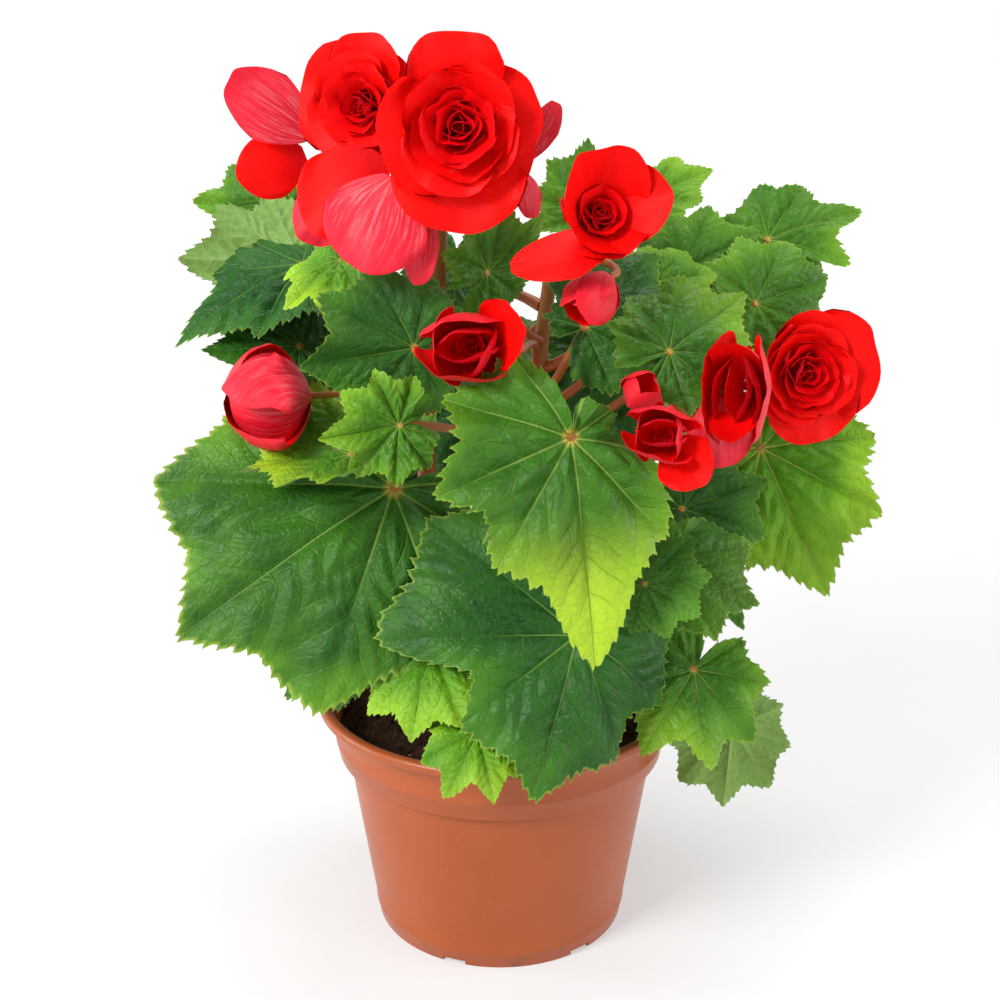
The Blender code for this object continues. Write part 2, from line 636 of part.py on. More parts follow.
def build():
    clear_scene()
    terracotta = material("terracotta", (0.50, 0.15, 0.05), 0.75)
    compost = material("compost", (0.03, 0.02, 0.015), 0.95)
    stem_finish = material("stem", (0.35, 0.10, 0.04), 0.5)
    leaf_finish = material("leaf", (0.05, 0.18, 0.05), 0.45)
    petal_finish = material("petal", (0.75, 0.01, 0.01), 0.5)
    add_pot(terracotta)
    add_soil(compost)
    for stem in STEMS:
        add_stem(stem, stem_finish)
    stems = {stem.name: stem for stem in STEMS}
    for leaf in LEAVES:
        add_leaf(leaf, stems, leaf_finish)
    for flower in FLOWERS:
        for number in range(len(flower.petals)):
            add_open_petal(flower, number, petal_finish)
        add_heart(flower, petal_finish)
    for petal in PETALS:
        add_free_petal(petal, petal_finish)
    for bloom in BLOOMS:
        add_bloom(bloom, petal_finish)


build()
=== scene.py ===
"""The looks of the potted begonia: pot, compost, stems, leaves and flowers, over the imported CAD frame.

Lengths in the tables are millimetres and angles are degrees; MM turns millimetres into metres.
"""

import math
from collections import namedtuple

import bmesh
import bpy
import numpy as np
from mathutils import Matrix, Vector


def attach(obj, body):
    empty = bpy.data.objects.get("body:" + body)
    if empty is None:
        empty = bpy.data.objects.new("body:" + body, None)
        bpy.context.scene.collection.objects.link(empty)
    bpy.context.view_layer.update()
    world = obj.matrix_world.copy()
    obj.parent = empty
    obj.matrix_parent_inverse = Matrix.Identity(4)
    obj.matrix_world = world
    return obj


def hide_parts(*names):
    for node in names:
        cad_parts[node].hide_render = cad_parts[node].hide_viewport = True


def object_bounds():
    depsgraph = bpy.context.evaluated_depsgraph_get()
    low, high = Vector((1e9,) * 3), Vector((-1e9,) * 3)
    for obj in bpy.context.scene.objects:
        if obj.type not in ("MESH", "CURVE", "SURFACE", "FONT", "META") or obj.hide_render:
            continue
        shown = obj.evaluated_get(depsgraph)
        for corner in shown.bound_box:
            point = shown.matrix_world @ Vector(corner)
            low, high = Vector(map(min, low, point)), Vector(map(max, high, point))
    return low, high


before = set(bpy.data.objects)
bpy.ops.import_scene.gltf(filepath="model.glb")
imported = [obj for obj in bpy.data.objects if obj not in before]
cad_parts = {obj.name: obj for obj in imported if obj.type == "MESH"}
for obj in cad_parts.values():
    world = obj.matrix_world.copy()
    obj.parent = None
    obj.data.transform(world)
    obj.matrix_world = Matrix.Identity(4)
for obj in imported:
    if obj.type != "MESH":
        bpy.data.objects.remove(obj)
cad_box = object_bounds()

MM = 0.001
EDGE = 0.00005  # how far inside the CAD model's box every point stays, in metres
SOFT_EDGE = 0.003  # how far from that box points start to be drawn in
SHARP_ANGLE = 70.0  # edges that bend more than this are drawn as edges
POT_SHARP_ANGLE = 42.0
GAP = 0.3  # between the pot and the compost, and behind a flower
CAMERA_DISTANCE = 557.0  # from the point on the pot's axis that it looks at
CAMERA_PITCH = 17.94
TARGET_HEIGHT = 169.0
LENS = 54.0
SENSOR_WIDTH = 36.0
LAMP_TARGET = (0, 0, 0.17)  # metres
WHITE = (1.0, 1.0, 1.0, 1.0)

# Pot ---------------------------------------------------------------------------------------
POT_HEIGHT = 93.5
RIM_RADIUS = 70.0
BASE_RADIUS = 48.5
SHOULDER_RADIUS = 59.0  # body, just under the band
BAND_LOW_RADIUS = 62.6
BAND_TOP_RADIUS = 65.2
BAND_LOW_Z = 70.5
MOULDING_LINE = 6.4  # the raised line, over the foot of the band
RIM_INNER_RADIUS = 66.0
RIM_DEPTH = 4.2
WALL = 1.6
POT_SEGMENTS = 180
FOOT_RADIUS = 44.5  # inside of the ring the pot stands on
FOOT_HEIGHT = 3.0
CENTRE_PAD_RADIUS = 9.0  # level with the ring, in the middle of the underside
FLOOR_TOP = 4.6
DRAIN_HOLES = 6
DRAIN_RADIUS = 4.0
DRAIN_CIRCLE = 30.0
DRAIN_TURN = 0.42  # of the first one from +X, as a share of their spacing
DRAIN_SIDES = 24
FOOT_NOTCHES = 6
FOOT_NOTCH_WIDTH = 9.0
FOOT_NOTCH_HEIGHT = 2.0
FOOT_NOTCH_TURN = -51.0  # degrees from +X of the first one

# Compost -----------------------------------------------------------------------------------
SOIL_TOP = 80.0
SOIL_MOUND = 3.0
SOIL_EDGE = 62.0
SOIL_SEGMENTS = 120
SOIL_RINGS = 46
SOIL_BUMPS = ((0.21, 0.19, 0.8), (0.53, 0.47, 0.45), (1.3, 1.1, 0.22))  # radians per mm both ways, size
SOIL_TOP_GAP = 0.1  # its highest points stay this far under the mound's full height
COMPOST_TONES = ((0.030, 0.014, 0.008), (0.095, 0.045, 0.022))
CHIP_TONES = ((0.16, 0.075, 0.03), (0.34, 0.19, 0.09))
# A crumb is a rough icosahedron: a point on top, two rings of five and a point below.
CRUMB_POINTS = (
    (0, 0, 1),
    (0.89, 0, 0.45), (0.28, 0.85, 0.45), (-0.72, 0.53, 0.45), (-0.72, -0.53, 0.45), (0.28, -0.85, 0.45),
    (0.72, 0.53, -0.45), (-0.28, 0.85, -0.45), (-0.89, 0, -0.45), (-0.28, -0.85, -0.45), (0.72, -0.53, -0.45),
    (0, 0, -1),
)
CRUMB_FACES = (
    (0, 1, 2), (0, 2, 3), (0, 3, 4), (0, 4, 5), (0, 5, 1),
    (1, 6, 2), (2, 7, 3), (3, 8, 4), (4, 9, 5), (5, 10, 1),
    (6, 7, 2), (7, 8, 3), (8, 9, 4), (9, 10, 5), (10, 6, 1),
    (11, 7, 6), (11, 8, 7), (11, 9, 8), (11, 10, 9), (11, 6, 10),
)

# Stems and flower stalks -------------------------------------------------------------------
STEM_STEPS = 3  # to each span of a stem, where leaves and stalks find their places on it
FINE_STEM_STEPS = 12
STALK_RADIUS = 1.5
STALK_STEPS = 16
BRANCH_STEPS = 5  # of a stalk that another leaves, to find the place

# Leaves ------------------------------------------------------------------------------------
BLADE_THICKNESS = 0.45
LARGE_LEAF = 45.0  # blades longer than this have the finer mesh
INNER_SHARE = 0.86  # of the reach, where the plain rings end and the toothed rings begin
FINE_RINGS = (0.92, 0.97, 1.0)
FIRST_LEAF_SEED = 100
RELIEF_SEED = 500  # added to a leaf's seed
VEIN_SEED = 900  # added to a leaf's seed
PETIOLE_RADIUS = 1.7
PETIOLE_STEPS = 18
SHOULDER_ANGLE = 40.0  # from the midrib, where a half has its full width
BACK_ANGLES = (55.0, 85.0)  # where the lobes next to the petiole start, and count in full
# Outline of a blade seen from above: angle from the midrib, reach as a share of the length.
BLADE_OUTLINE = (
    (0, 1.00), (18, 0.78), (38, 0.84), (56, 0.66), (75, 0.74), (95, 0.58),
    (115, 0.63), (135, 0.50), (155, 0.50), (171, 0.30), (180, 0.13),
)

# Flowers -----------------------------------------------------------------------------------
PETAL_THICKNESS = 0.38
FREE_PETAL_THICKNESS = 0.4
CORE_SIDES = 12  # of the small closed core behind a flower's petals
CORE_RINGS = ((0.0, 0.4), (0.15, 0.95), (0.7, 1.0), (1.3, 0.6), (1.6, 0.15))  # height, radius
FIRST_FLOWER_SEED = 11
SEED_STEP = 101  # between one flower's random numbers and the next one's

Stem = namedtuple("Stem", "name path radii")
Leaf = namedtuple(
    "Leaf",
    "name at heading pitch roll length left right droop sides stem drop left_back right_back",
    defaults=(1.0, 1.0),
)
Flower = namedtuple("Flower", "name at azimuth elevation radius petals depth heart")
Petal = namedtuple("Petal", "name at azimuth elevation roll length width cup")
Bloom = namedtuple("Bloom", "name at azimuth elevation length radius mouth")

# Each stem runs from inside the compost to the flowers it carries.
STEMS = (
    Stem("stem_left", ((-6, 2, 66), (-9, 0, 100), (-22, -6, 150), (-27, -10, 195), (-22, -14, 240),
                       (-20, -22, 278)), (4.6, 2.6)),
    Stem("stem_centre", ((8, 8, 66), (10, 9, 110), (12, 9, 165), (14, 9, 215), (18, 8, 250)),
         (4.8, 2.6)),
    Stem("stem_right", ((20, 2, 66), (30, 4, 105), (42, 6, 150), (58, 2, 190), (80, -16, 212)),
         (4.4, 2.4)),
    Stem("stem_back", ((4, 24, 66), (4, 32, 110), (2, 40, 165), (-6, 44, 215)), (4.6, 2.6)),
)

# Stalks: the stem each grows from, the height it leaves it at (or the flower whose stalk it
# leaves), and the flower it carries.
STALKS = (
    ("stem_left", 268, "rose_top"),
    ("stem_left", 255, "rose_left"),
    ("stem_left", 245, "petal_under_large"),
    ("stem_left", 196, "bud_left"),
    ("stem_centre", 244, "bloom_upper_right"),
    ("stem_centre", "bloom_upper_right", "bloom_side"),
    ("stem_centre", 205, "bloom_centre"),
    ("stem_right", 170, "bloom_right_small"),
    ("stem_right", 206, "rose_right"),
    ("stem_right", 200, "bloom_right_half"),
)

# at: where the petiole meets the blade. heading, pitch: where the tip points. roll: the blade's turn
# about its midrib. left, right: width of each half, as a share of the usual. droop, sides: how far
# the tip and the two halves bend down. stem, drop: the stem it grows from, and how far below.
# left_back, right_back: size of the lobes next to the petiole, as a share of the usual.
LEAVES = (
    Leaf("leaf_front_centre", (22, -86, 217), -65, -68, 7, 74, 0.72, 0.78, 20, 25, "stem_centre",
         22, 0.5, 1.15),
    Leaf("leaf_front_low", (26, -64, 142), -113, -55, -41, 58, 0.92, 1.0, 18, 27, "stem_centre", 30,
         1.25, 1.8),
    Leaf("leaf_left_low", (-36.7, -36.2, 185.1), -152, -24, -52, 92, 1.05, 1.1, 30, 21, "stem_left",
         10, 0.6, 0.6),
    Leaf("leaf_left_curled", (-50.4, -42.5, 199.2), -165, -1, -16, 40, 1.1, 1.1, 20, -30,
         "stem_left", -10, 1.16, 0.93),
    Leaf("leaf_left_young", (-32, -69, 216.2), -165, -6, -75, 27, 1, 1, 20, 10, "stem_centre", 29),
    Leaf("leaf_left_round", (-28, -45.8, 236.4), -151, -3, -76, 40, 1, 1.1, 15, 25, "stem_left", 5),
    Leaf("leaf_left_yellow", (-54, -23, 262), -153, -30, -21, 26, 1.1, 1.1, 20, 25, "stem_left", 30),
    Leaf("leaf_left_dark", (-72.6, 5.5, 226.1), -159, 3, -47, 36, 1, 1, 10, -20, "stem_left", 16),
    Leaf("leaf_left_pale", (-77, 44, 250), -167, 2, 128, 46, 1.0, 1.0, 10, 10, "stem_back", 20),
    Leaf("leaf_left_upper", (-71.6, 13, 255.2), -157, -18, -20, 55, 0.8, 0.8, 25, 30, "stem_left", 40),
    Leaf("leaf_left_top", (-82, 69, 268), -171, 6, -50, 40, 1, 1, 15, 25, "stem_centre", 28),
    Leaf("leaf_middle_top", (-4, -27, 258), 24, 39, 109, 30, 1.1, 1.1, 15, 15, "stem_centre", 30),
    Leaf("leaf_peak", (31, 15, 272), 83, 64, 24, 30, 1.0, 1.0, 10, 15, "stem_centre", 24),
    Leaf("leaf_peak_right", (57, 45, 274), -8, 37, 45, 26, 1.0, 1.0, 25, 25, "stem_back", 40),
    Leaf("leaf_centre_dark", (29.2, -24, 239.1), 39, 34, 44, 43, 1.1, 1, 7, 21, "stem_centre", 31,
         0.5, 0.95),
    Leaf("leaf_right_pleated", (54.2, -3.6, 251.5), -15, -19, 43, 25, 1.2, 1.2, 15, 25,
         "stem_centre", 34),
    Leaf("leaf_right_inner", (67, 16, 252), 12, 27, 60, 33, 1.0, 1.0, 10, 20, "stem_centre", 50),
    Leaf("leaf_right_peak", (101, 39, 260), 9, 21, 43, 41, 1, 1, 15, 30, "stem_right", 62),
    Leaf("leaf_right_upper", (92, 4, 242), 23, 15, 62, 34, 1.1, 1.1, 15, 20, "stem_centre", 54),
    Leaf("leaf_right_light", (55.1, -51.2, 236.4), 32, 28, 47, 37, 1, 1, 15, 25, "stem_right", 34),
    Leaf("leaf_right_big", (96, 0.3, 188.9), -53, -52, 44, 60, 1, 0.9, 25, 30, "stem_back", 48),
    Leaf("leaf_right_dark", (65, -22, 173), 8, 18, 43, 34, 1.1, 1.1, 15, 25, "stem_right", 14),
    Leaf("leaf_right_mid", (57.6, -47.2, 162.8), -11, -21, 46, 36, 1.1, 1.1, 15, 25, "stem_right",
         20, 0.7, 0.7),
    Leaf("leaf_front_grey", (47, -76, 165), -17, 16, 59, 22, 1.2, 1.2, 10, 15, "stem_centre", -10),
    Leaf("leaf_right_low", (69, -41, 119), -131, -36, -33, 38, 1.2, 1.2, 15, 20, "stem_right", 10),
    Leaf("leaf_right_hanging", (87, -20, 86), -118, -78, 149, 32, 1.1, 1.1, 15, 20,
         "stem_right", -16),
    Leaf("leaf_low_left", (-23, -58, 134), -113, -41, 2, 33, 1.2, 1.2, 25, 25, "stem_left", 30),
    Leaf("leaf_rim", (-7, -75, 112), -72, -46, 9, 26, 1.2, 1.2, 25, 25, "stem_centre", 10),
    Leaf("leaf_back_left", (-46, 62, 205), 128, -20, 0, 66, 1.0, 1.0, 25, 30, "stem_back", 26),
    Leaf("leaf_back_middle", (5.8, 81.6, 217.9), 84, -28, 4, 72, 1, 1, 25, 30, "stem_back", 36),
    Leaf("leaf_back_right", (60, 66, 190), 44, -22, -4, 68, 1.0, 1.0, 25, 30, "stem_back", 30),
    Leaf("leaf_back_low_left", (-40, 56, 134), 140, -35, 4, 62, 1.0, 1.0, 25, 30, "stem_back", 20),
    Leaf("leaf_back_low_right", (30, 66, 138), 62, -34, 0, 66, 1.0, 1.0, 25, 30, "stem_back", 24),
)

# Double flowers with a ring of open petals. at is the base, azimuth and elevation say where it
# faces, petals are (name, degrees clockwise from the top, width as a share of the radius), depth is
# how far forward their tips come, and heart is the radius of the middle as a share of the whole.
FLOWERS = (
    Flower("rose_top", (-12, -50, 307), -92, 6, 29,
           (("top", 5, 1.2), ("right", 70, 1.15), ("low", 175, 1.3), ("left", 265, 1.2)), 7, 0.60),
    Flower("rose_left", (-42, -26, 312), -112, 4, 22, (("top", 10, 1.2), ("left", 285, 1.3)), 7, 0.62),
    Flower("rose_right", (104.6, -12, 221.4), -78, 4, 27,
           (("left", 265, 1.2), ("top", 50, 1.5), ("low", 170, 1.4)), 9, 0.55),
)

# Petals that stand on their own: the outer petals of the flower that faces down and away on the left.
PETALS = (
    Petal("petal_left_upper", (-62.7, -19.8, 302.6), 202, 37, -75, 32, 25, 0.15),
    Petal("petal_left_red", (-65, -19, 296.5), 205, -18, -80, 24, 22, 0.15),
    Petal("petal_under_large", (-33, -50, 291.5), 206, -62, -60, 31, 36, 0.15),
)

# Half-open flowers and buds: at is the base, length and radius are the whole bloom's, and mouth is
# how wide it has opened, as a share of the radius.
BLOOMS = (
    Bloom("bloom_upper_right", (28.9, -49.4, 277.3), -70, 32, 32, 17, 0.8),
    Bloom("bloom_side", (34.9, -51.3, 260.8), -158, -5, 30, 9, 0.3),
    Bloom("bloom_centre", (-6.1, -68, 240.1), -130, 25, 26, 15, 0.5),
    Bloom("bud_left", (-65.3, -31.7, 216.7), -150, 5, 30, 15, 0.1),
    Bloom("bloom_right_small", (51.4, -81.7, 216), -130, 24, 22, 11, 0.6),
    Bloom("bloom_right_half", (79.3, -60.8, 227.3), -120, 15, 24, 16, 0.8),
)

# Looks of a leaf: tone (0 dark bluish green, 1 light green), lime (how far the yellow-green of the
# margin comes in), tip (the same, towards the tip), pleat, wave, fold (a V along the midrib).
# lobes: how deep the gaps between its lobes are.
Look = namedtuple(
    "Look", "tone lime tip pleat wave fold lobes", defaults=(0.3, 0.3, 0.0, 0.3, 0.7, 0.0, 0.15)
)
LOOKS = {
    "leaf_front_centre": Look(0.26, 0.45, 1.0, 0.30, 0.8, 0.06, 0.12),
    "leaf_front_low": Look(0.05, 0.35, 0.0, 0.22, 0.9, 0.0, -0.2),
    "leaf_left_low": Look(0.20, 0.55, 0.0, 0.22, 0.8, 0.0, -0.05),
    "leaf_left_curled": Look(0.8, 1.0, 0.7, 0.2, 1.4, 0.1),
    "leaf_left_young": Look(0.45, 0.6, 0.2, 0.5, 1.6, 0.2, 0.5),
    "leaf_left_round": Look(0.10, 0.35, 0.0, 0.35, 1.1, 0.0),
    "leaf_left_yellow": Look(0.85, 0.8, 0.5, 0.3, 1.2, 0.0, 0.5),
    "leaf_left_dark": Look(0.05, 0.25, 0.0, 0.2, 1.3, 0.0),
    "leaf_left_pale": Look(0.45, 0.3, 0.0, 0.2, 1.2, 0.0),
    "leaf_left_upper": Look(0.0, 0.25, 0.0, 0.2, 1.1, 0.0),
    "leaf_left_top": Look(0.45, 0.4, 0.0, 0.3, 1.3, 0.0),
    "leaf_middle_top": Look(0.45, 0.45, 0.1, 0.5, 0.9, 0.0, 0.6),
    "leaf_peak": Look(0.45, 0.35, 0.0, 0.3, 1.2, 0.0),
    "leaf_peak_right": Look(0.6, 0.4, 0.2, 0.3, 1.0, 0.0),
    "leaf_centre_dark": Look(0.10, 0.35, 0.0, 0.3, 1.3, 0.0),
    "leaf_right_pleated": Look(0.6, 0.5, 0.2, 0.6, 1.0, 0.0),
    "leaf_right_inner": Look(0.3, 0.35, 0.0, 0.3, 1.3, 0.0),
    "leaf_right_peak": Look(0.5, 0.4, 0.1, 0.4, 1.3, 0.0, 0.6),
    "leaf_right_upper": Look(0.45, 0.35, 0.0, 0.4, 1.3, 0.0),
    "leaf_right_light": Look(0.30, 0.4, 0.2, 0.4, 1.3, 0.0),
    "leaf_right_big": Look(1.0, 0.6, 0.3, 0.6, 0.6, 0.0, 0.0),
    "leaf_right_dark": Look(0.15, 0.3, 0.0, 0.4, 1.2, 0.0),
    "leaf_right_mid": Look(0.3, 0.45, 0.1, 0.5, 1.3, 0.0),
    "leaf_front_grey": Look(0.30, 0.2, 0.0, 0.4, 0.9, 0.0),
    # leaf_right_low: its lighter tone is partly its own colour and partly painted light, the glow of light
    # shining through the blade from behind.
    "leaf_right_low": Look(0.4, 0.5, 0.3, 0.3, 1.3, 0.0, 0.6),
    "leaf_right_hanging": Look(0.7, 0.5, 0.3, 0.3, 1.2, 0.3),
    "leaf_low_left": Look(0.75, 0.5, 0.2, 0.4, 0.9, 0.0, 0.3),
    # The shade leaves' dark tones are painted shade deep in the plant, not their own colour.
    "leaf_shade_centre": Look(0.05, 0.1, 0.0, 0.3, 0.8),
    "leaf_shade_right": Look(0.05, 0.1, 0.0, 0.3, 0.8),
    "leaf_shade_low": Look(0.10, 0.2, 0.0, 0.3, 0.8),
    "leaf_shade_side": Look(0.15, 0.3, 0.0, 0.3, 1.2),
    "leaf_shade_left": Look(0.12, 0.2, 0.0, 0.3, 1.0),
    "leaf_shade_middle": Look(0.10, 0.2, 0.0, 0.3, 0.8),
    "leaf_shade_top": Look(0.10, 0.2, 0.0, 0.3, 0.8),
    "leaf_shade_inner": Look(0.02, 0.1, 0.0, 0.3, 0.8),
    "leaf_rim": Look(0.85, 0.7, 0.5, 0.4, 1.2, 0.0, 0.6),
}

# Outline of a deeply lobed blade, as BLADE_OUTLINE.
DEEP_OUTLINE = (
    (0, 1.00), (21, 0.55), (42, 0.80), (59, 0.55), (77, 0.74), (97, 0.50),
    (117, 0.64), (137, 0.44), (157, 0.50), (171, 0.28), (180, 0.12),
)

# Primary veins of a blade: their angles from the midrib, each out to a lobe's tip.
VEINS = np.array([-155.0, -115.0, -75.0, -38.0, 0.0, 38.0, 75.0, 115.0, 155.0])
SIDE_VEIN_SPACING = 0.135
SIDE_VEIN_SLOPE = 1.0

# Petals of the same flowers that only the finished model shows, and those that show their faces.
MORE_PETALS = (
    Petal("petal_under_small", (-50, -26, 288), 208, -46, -62, 25, 22, 0.15),
    Petal("petal_under_red", (-40, -38, 299), 206, -50, -60, 33, 33, 0.15),
    Petal("petal_hang", (-25, -46, 284), 250, -80, -15, 27, 13, 0.15),
    Petal("petal_tongue", (36, -60, 273), 187, -8, -32, 34, 23, 0.3),
    Petal("petal_right_pink", (70, -66, 225), -84, -70, 0, 23, 22, 0.15),
    Petal("petal_edge_upper", (9.5, -31, 296), 5, 66, 60, 20, 11, 0.15),
    Petal("petal_edge_lower", (8, -31, 291), 0, -75, 60, 15, 10, 0.15),
)
MORE_BLOOMS = (Bloom("bud_red", (43, -66, 224), -70, 38, 13, 6, 0.1),)
MORE_STALKS = (
    ("stem_left", "rose_top", "petal_edge_upper"),
    ("stem_left", "petal_edge_upper", "petal_edge_lower"),
    ("stem_right", "bloom_right_small", "bud_red"),
    ("stem_right", "bloom_right_half", "petal_right_pink"),
)
RED_PETALS = ("petal_left_red", "petal_under_red", "petal_tongue")

# Leaves deep in the plant that only the finished model shows. Their dark tones are painted shade: dark sheets
# that fill the gaps between the leaves, where shade falls.
SHADE_LEAVES = (
    Leaf("leaf_shade_centre", (-8, 15, 202), -122, -38, 10, 40, 1.0, 1.0, 15, 20, "stem_centre", 20),
    Leaf("leaf_shade_right", (28, 22, 206), -60, -34, 6, 42, 1.0, 1.0, 15, 20, "stem_centre", 20),
    Leaf("leaf_shade_low", (42, 12, 166), -52, -42, 8, 42, 1.0, 1.0, 15, 20, "stem_right", 16),
    Leaf("leaf_shade_side", (66, 18, 142), -26, -34, 4, 42, 1.0, 1.0, 15, 20, "stem_right", 16),
    Leaf("leaf_shade_left", (-46, -12, 128), -166, -32, -14, 48, 1.0, 1.0, 20, 25, "stem_left", 18),
    Leaf("leaf_shade_middle", (40, 28, 218), -75, -50, 6, 38, 1.0, 1.0, 15, 20, "stem_centre", 20),
    Leaf("leaf_shade_top", (-16, 20, 254), -95, -48, 4, 36, 1.0, 1.0, 15, 20, "stem_back", 40),
    Leaf("leaf_shade_inner", (-28, 18, 190), -110, -50, 4, 36, 1.0, 1.0, 15, 20, "stem_back", 20),
)

# A petal of a flower: turn is degrees clockwise from the top, open0 and open1 lean it out at its base
# and tip, and out and forward are where it starts.
OpenPetal = namedtuple("OpenPetal", "turn length width open0 open1 cup out forward")


def frame_of(at, heading, pitch, roll):
    """4 x 4 matrix: local X along the heading and pitch, local Z the upper side, turned by roll."""
    turn, rise = math.radians(heading), math.radians(pitch)
    forward = Vector((math.cos(rise) * math.cos(turn), math.cos(rise) * math.sin(turn), math.sin(rise)))
    upward = Vector((0, 0, 1))
    upward = (upward - upward.dot(forward) * forward).normalized()
    upward = Matrix.Rotation(math.radians(roll), 3, forward) @ upward
    axes = Matrix((forward, upward.cross(forward), upward)).transposed()
    return Matrix.Translation(Vector(at)) @ axes.to_4x4()


def placed(points, matrix):
    m = np.array(matrix)
    return points @ m[:3, :3].T + m[:3, 3]


def ease(share):
    share = np.clip(share, 0.0, 1.0)
    return share * share * (3 - 2 * share)


def bent(distance, degrees, reach):
    """(along, down) of points this far out on a sheet that bends by so many degrees over its reach."""
    if abs(degrees) < 0.01:
        return distance, np.zeros_like(distance)
    radius = reach / math.radians(degrees)
    return radius * np.sin(distance / radius), -radius * (1 - np.cos(distance / radius))


def smooth_path(points, steps):
    """Points on a Catmull-Rom curve through the given ones, with steps to each span."""
    given = [Vector(p) for p in points]
    ends = [2 * given[0] - given[1], *given, 2 * given[-1] - given[-2]]
    path = []
    for i in range(1, len(ends) - 2):
        before, start, end, after = ends[i - 1 : i + 3]
        for step in range(steps):
            t = step / steps
            path.append(
                0.5 * (2 * start + (end - before) * t
                       + (2 * before - 5 * start + 4 * end - after) * t ** 2
                       + (3 * start - before - 3 * end + after) * t ** 3)
            )
    return path + [given[-1]]


def curve(start, first, second, end, steps):
    """Points along a cubic Bezier curve."""
    return [
        start * (1 - t) ** 3 + first * 3 * t * (1 - t) ** 2 + second * 3 * t ** 2 * (1 - t) + end * t ** 3
        for t in (step / steps for step in range(steps + 1))
    ]


def tint_of(count, red=0.0, green=0.0, blue=0.0, alpha=1.0):
    """One row of four shares for each point: each is a number or a list of them."""
    columns = [np.broadcast_to(np.asarray(share, float), count) for share in (red, green, blue, alpha)]
    return np.stack(columns, 1)


def kept_inside(points):
    """The points, with any close to the sides or top of the CAD model's box drawn softly into it."""
    low, high = np.array(cad_box[0]) + EDGE, np.array(cad_box[1]) - EDGE
    low[2] = -1.0
    over, under = points - (high - SOFT_EDGE), low + SOFT_EDGE - points
    points = np.where(over > 0, high - SOFT_EDGE * np.exp(-over / SOFT_EDGE), points)
    return np.where(under > 0, low + SOFT_EDGE * np.exp(-under / SOFT_EDGE), points)


def new_object(name, points, faces, materials, indices=None, uvs=None, tint=None, smooth=True):
    """A mesh object from points in millimetres, kept inside the CAD model's box.

    uvs and tint are per point.
    """
    mesh = bpy.data.meshes.new(name)
    points = np.asarray(points, float) * MM
    if name != "floor":
        points = kept_inside(points)
    mesh.from_pydata(points.tolist(), [], [tuple(int(i) for i in f) for f in faces])
    for finish in materials:
        mesh.materials.append(finish)
    if indices is not None:
        mesh.polygons.foreach_set("material_index", np.asarray(indices, np.int32))
    corners = np.empty(len(mesh.loops), np.int32)
    mesh.loops.foreach_get("vertex_index", corners)
    for title, values in (uvs or {}).items():
        layer = mesh.uv_layers.new(name=title)
        layer.data.foreach_set("uv", np.asarray(values, np.float32)[corners].ravel())
    if tint is not None:
        layer = mesh.color_attributes.new("tint", "FLOAT_COLOR", "POINT")
        layer.data.foreach_set("color", np.asarray(tint, np.float32).ravel())
    if smooth:
        mesh.shade_smooth()
        mesh.set_sharp_from_angle(angle=math.radians(SHARP_ANGLE))
    mesh.update()
    made = bpy.data.objects.new(name, mesh)
    bpy.context.scene.collection.objects.link(made)
    return made


def face_out(made):
    work = bmesh.new()
    work.from_mesh(made.data)
    bmesh.ops.recalc_face_normals(work, faces=work.faces)
    work.to_mesh(made.data)
    work.free()


def finish_piece(made, slot, *nodes):
    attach(made, "root")
    if nodes:
        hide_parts(*nodes)


def tube(path, radii, sides, start=0):
    """(points, faces, along, around) of a closed tube."""
    points, along_list, around_list = [], [], []
    side = (path[1] - path[0]).orthogonal().normalized()
    for i, point in enumerate(path):
        along = (path[min(i + 1, len(path) - 1)] - path[max(i - 1, 0)]).normalized()
        side = (side - side.dot(along) * along).normalized()
        across = along.cross(side)
        for k in range(sides):
            turn = math.tau * k / sides
            points.append(point + radii[i] * (math.cos(turn) * side + math.sin(turn) * across))
            along_list.append(i / (len(path) - 1))
            around_list.append(k / sides)
    faces = [
        (start + i * sides + k, start + i * sides + (k + 1) % sides,
         start + (i + 1) * sides + (k + 1) % sides, start + (i + 1) * sides + k)
        for i in range(len(path) - 1)
        for k in range(sides)
    ]
    faces.append(tuple(reversed(range(start, start + sides))))
    faces.append(tuple(range(start + len(points) - sides, start + len(points))))
    return points, faces, along_list, around_list


# Materials -----------------------------------------------------------------------------------


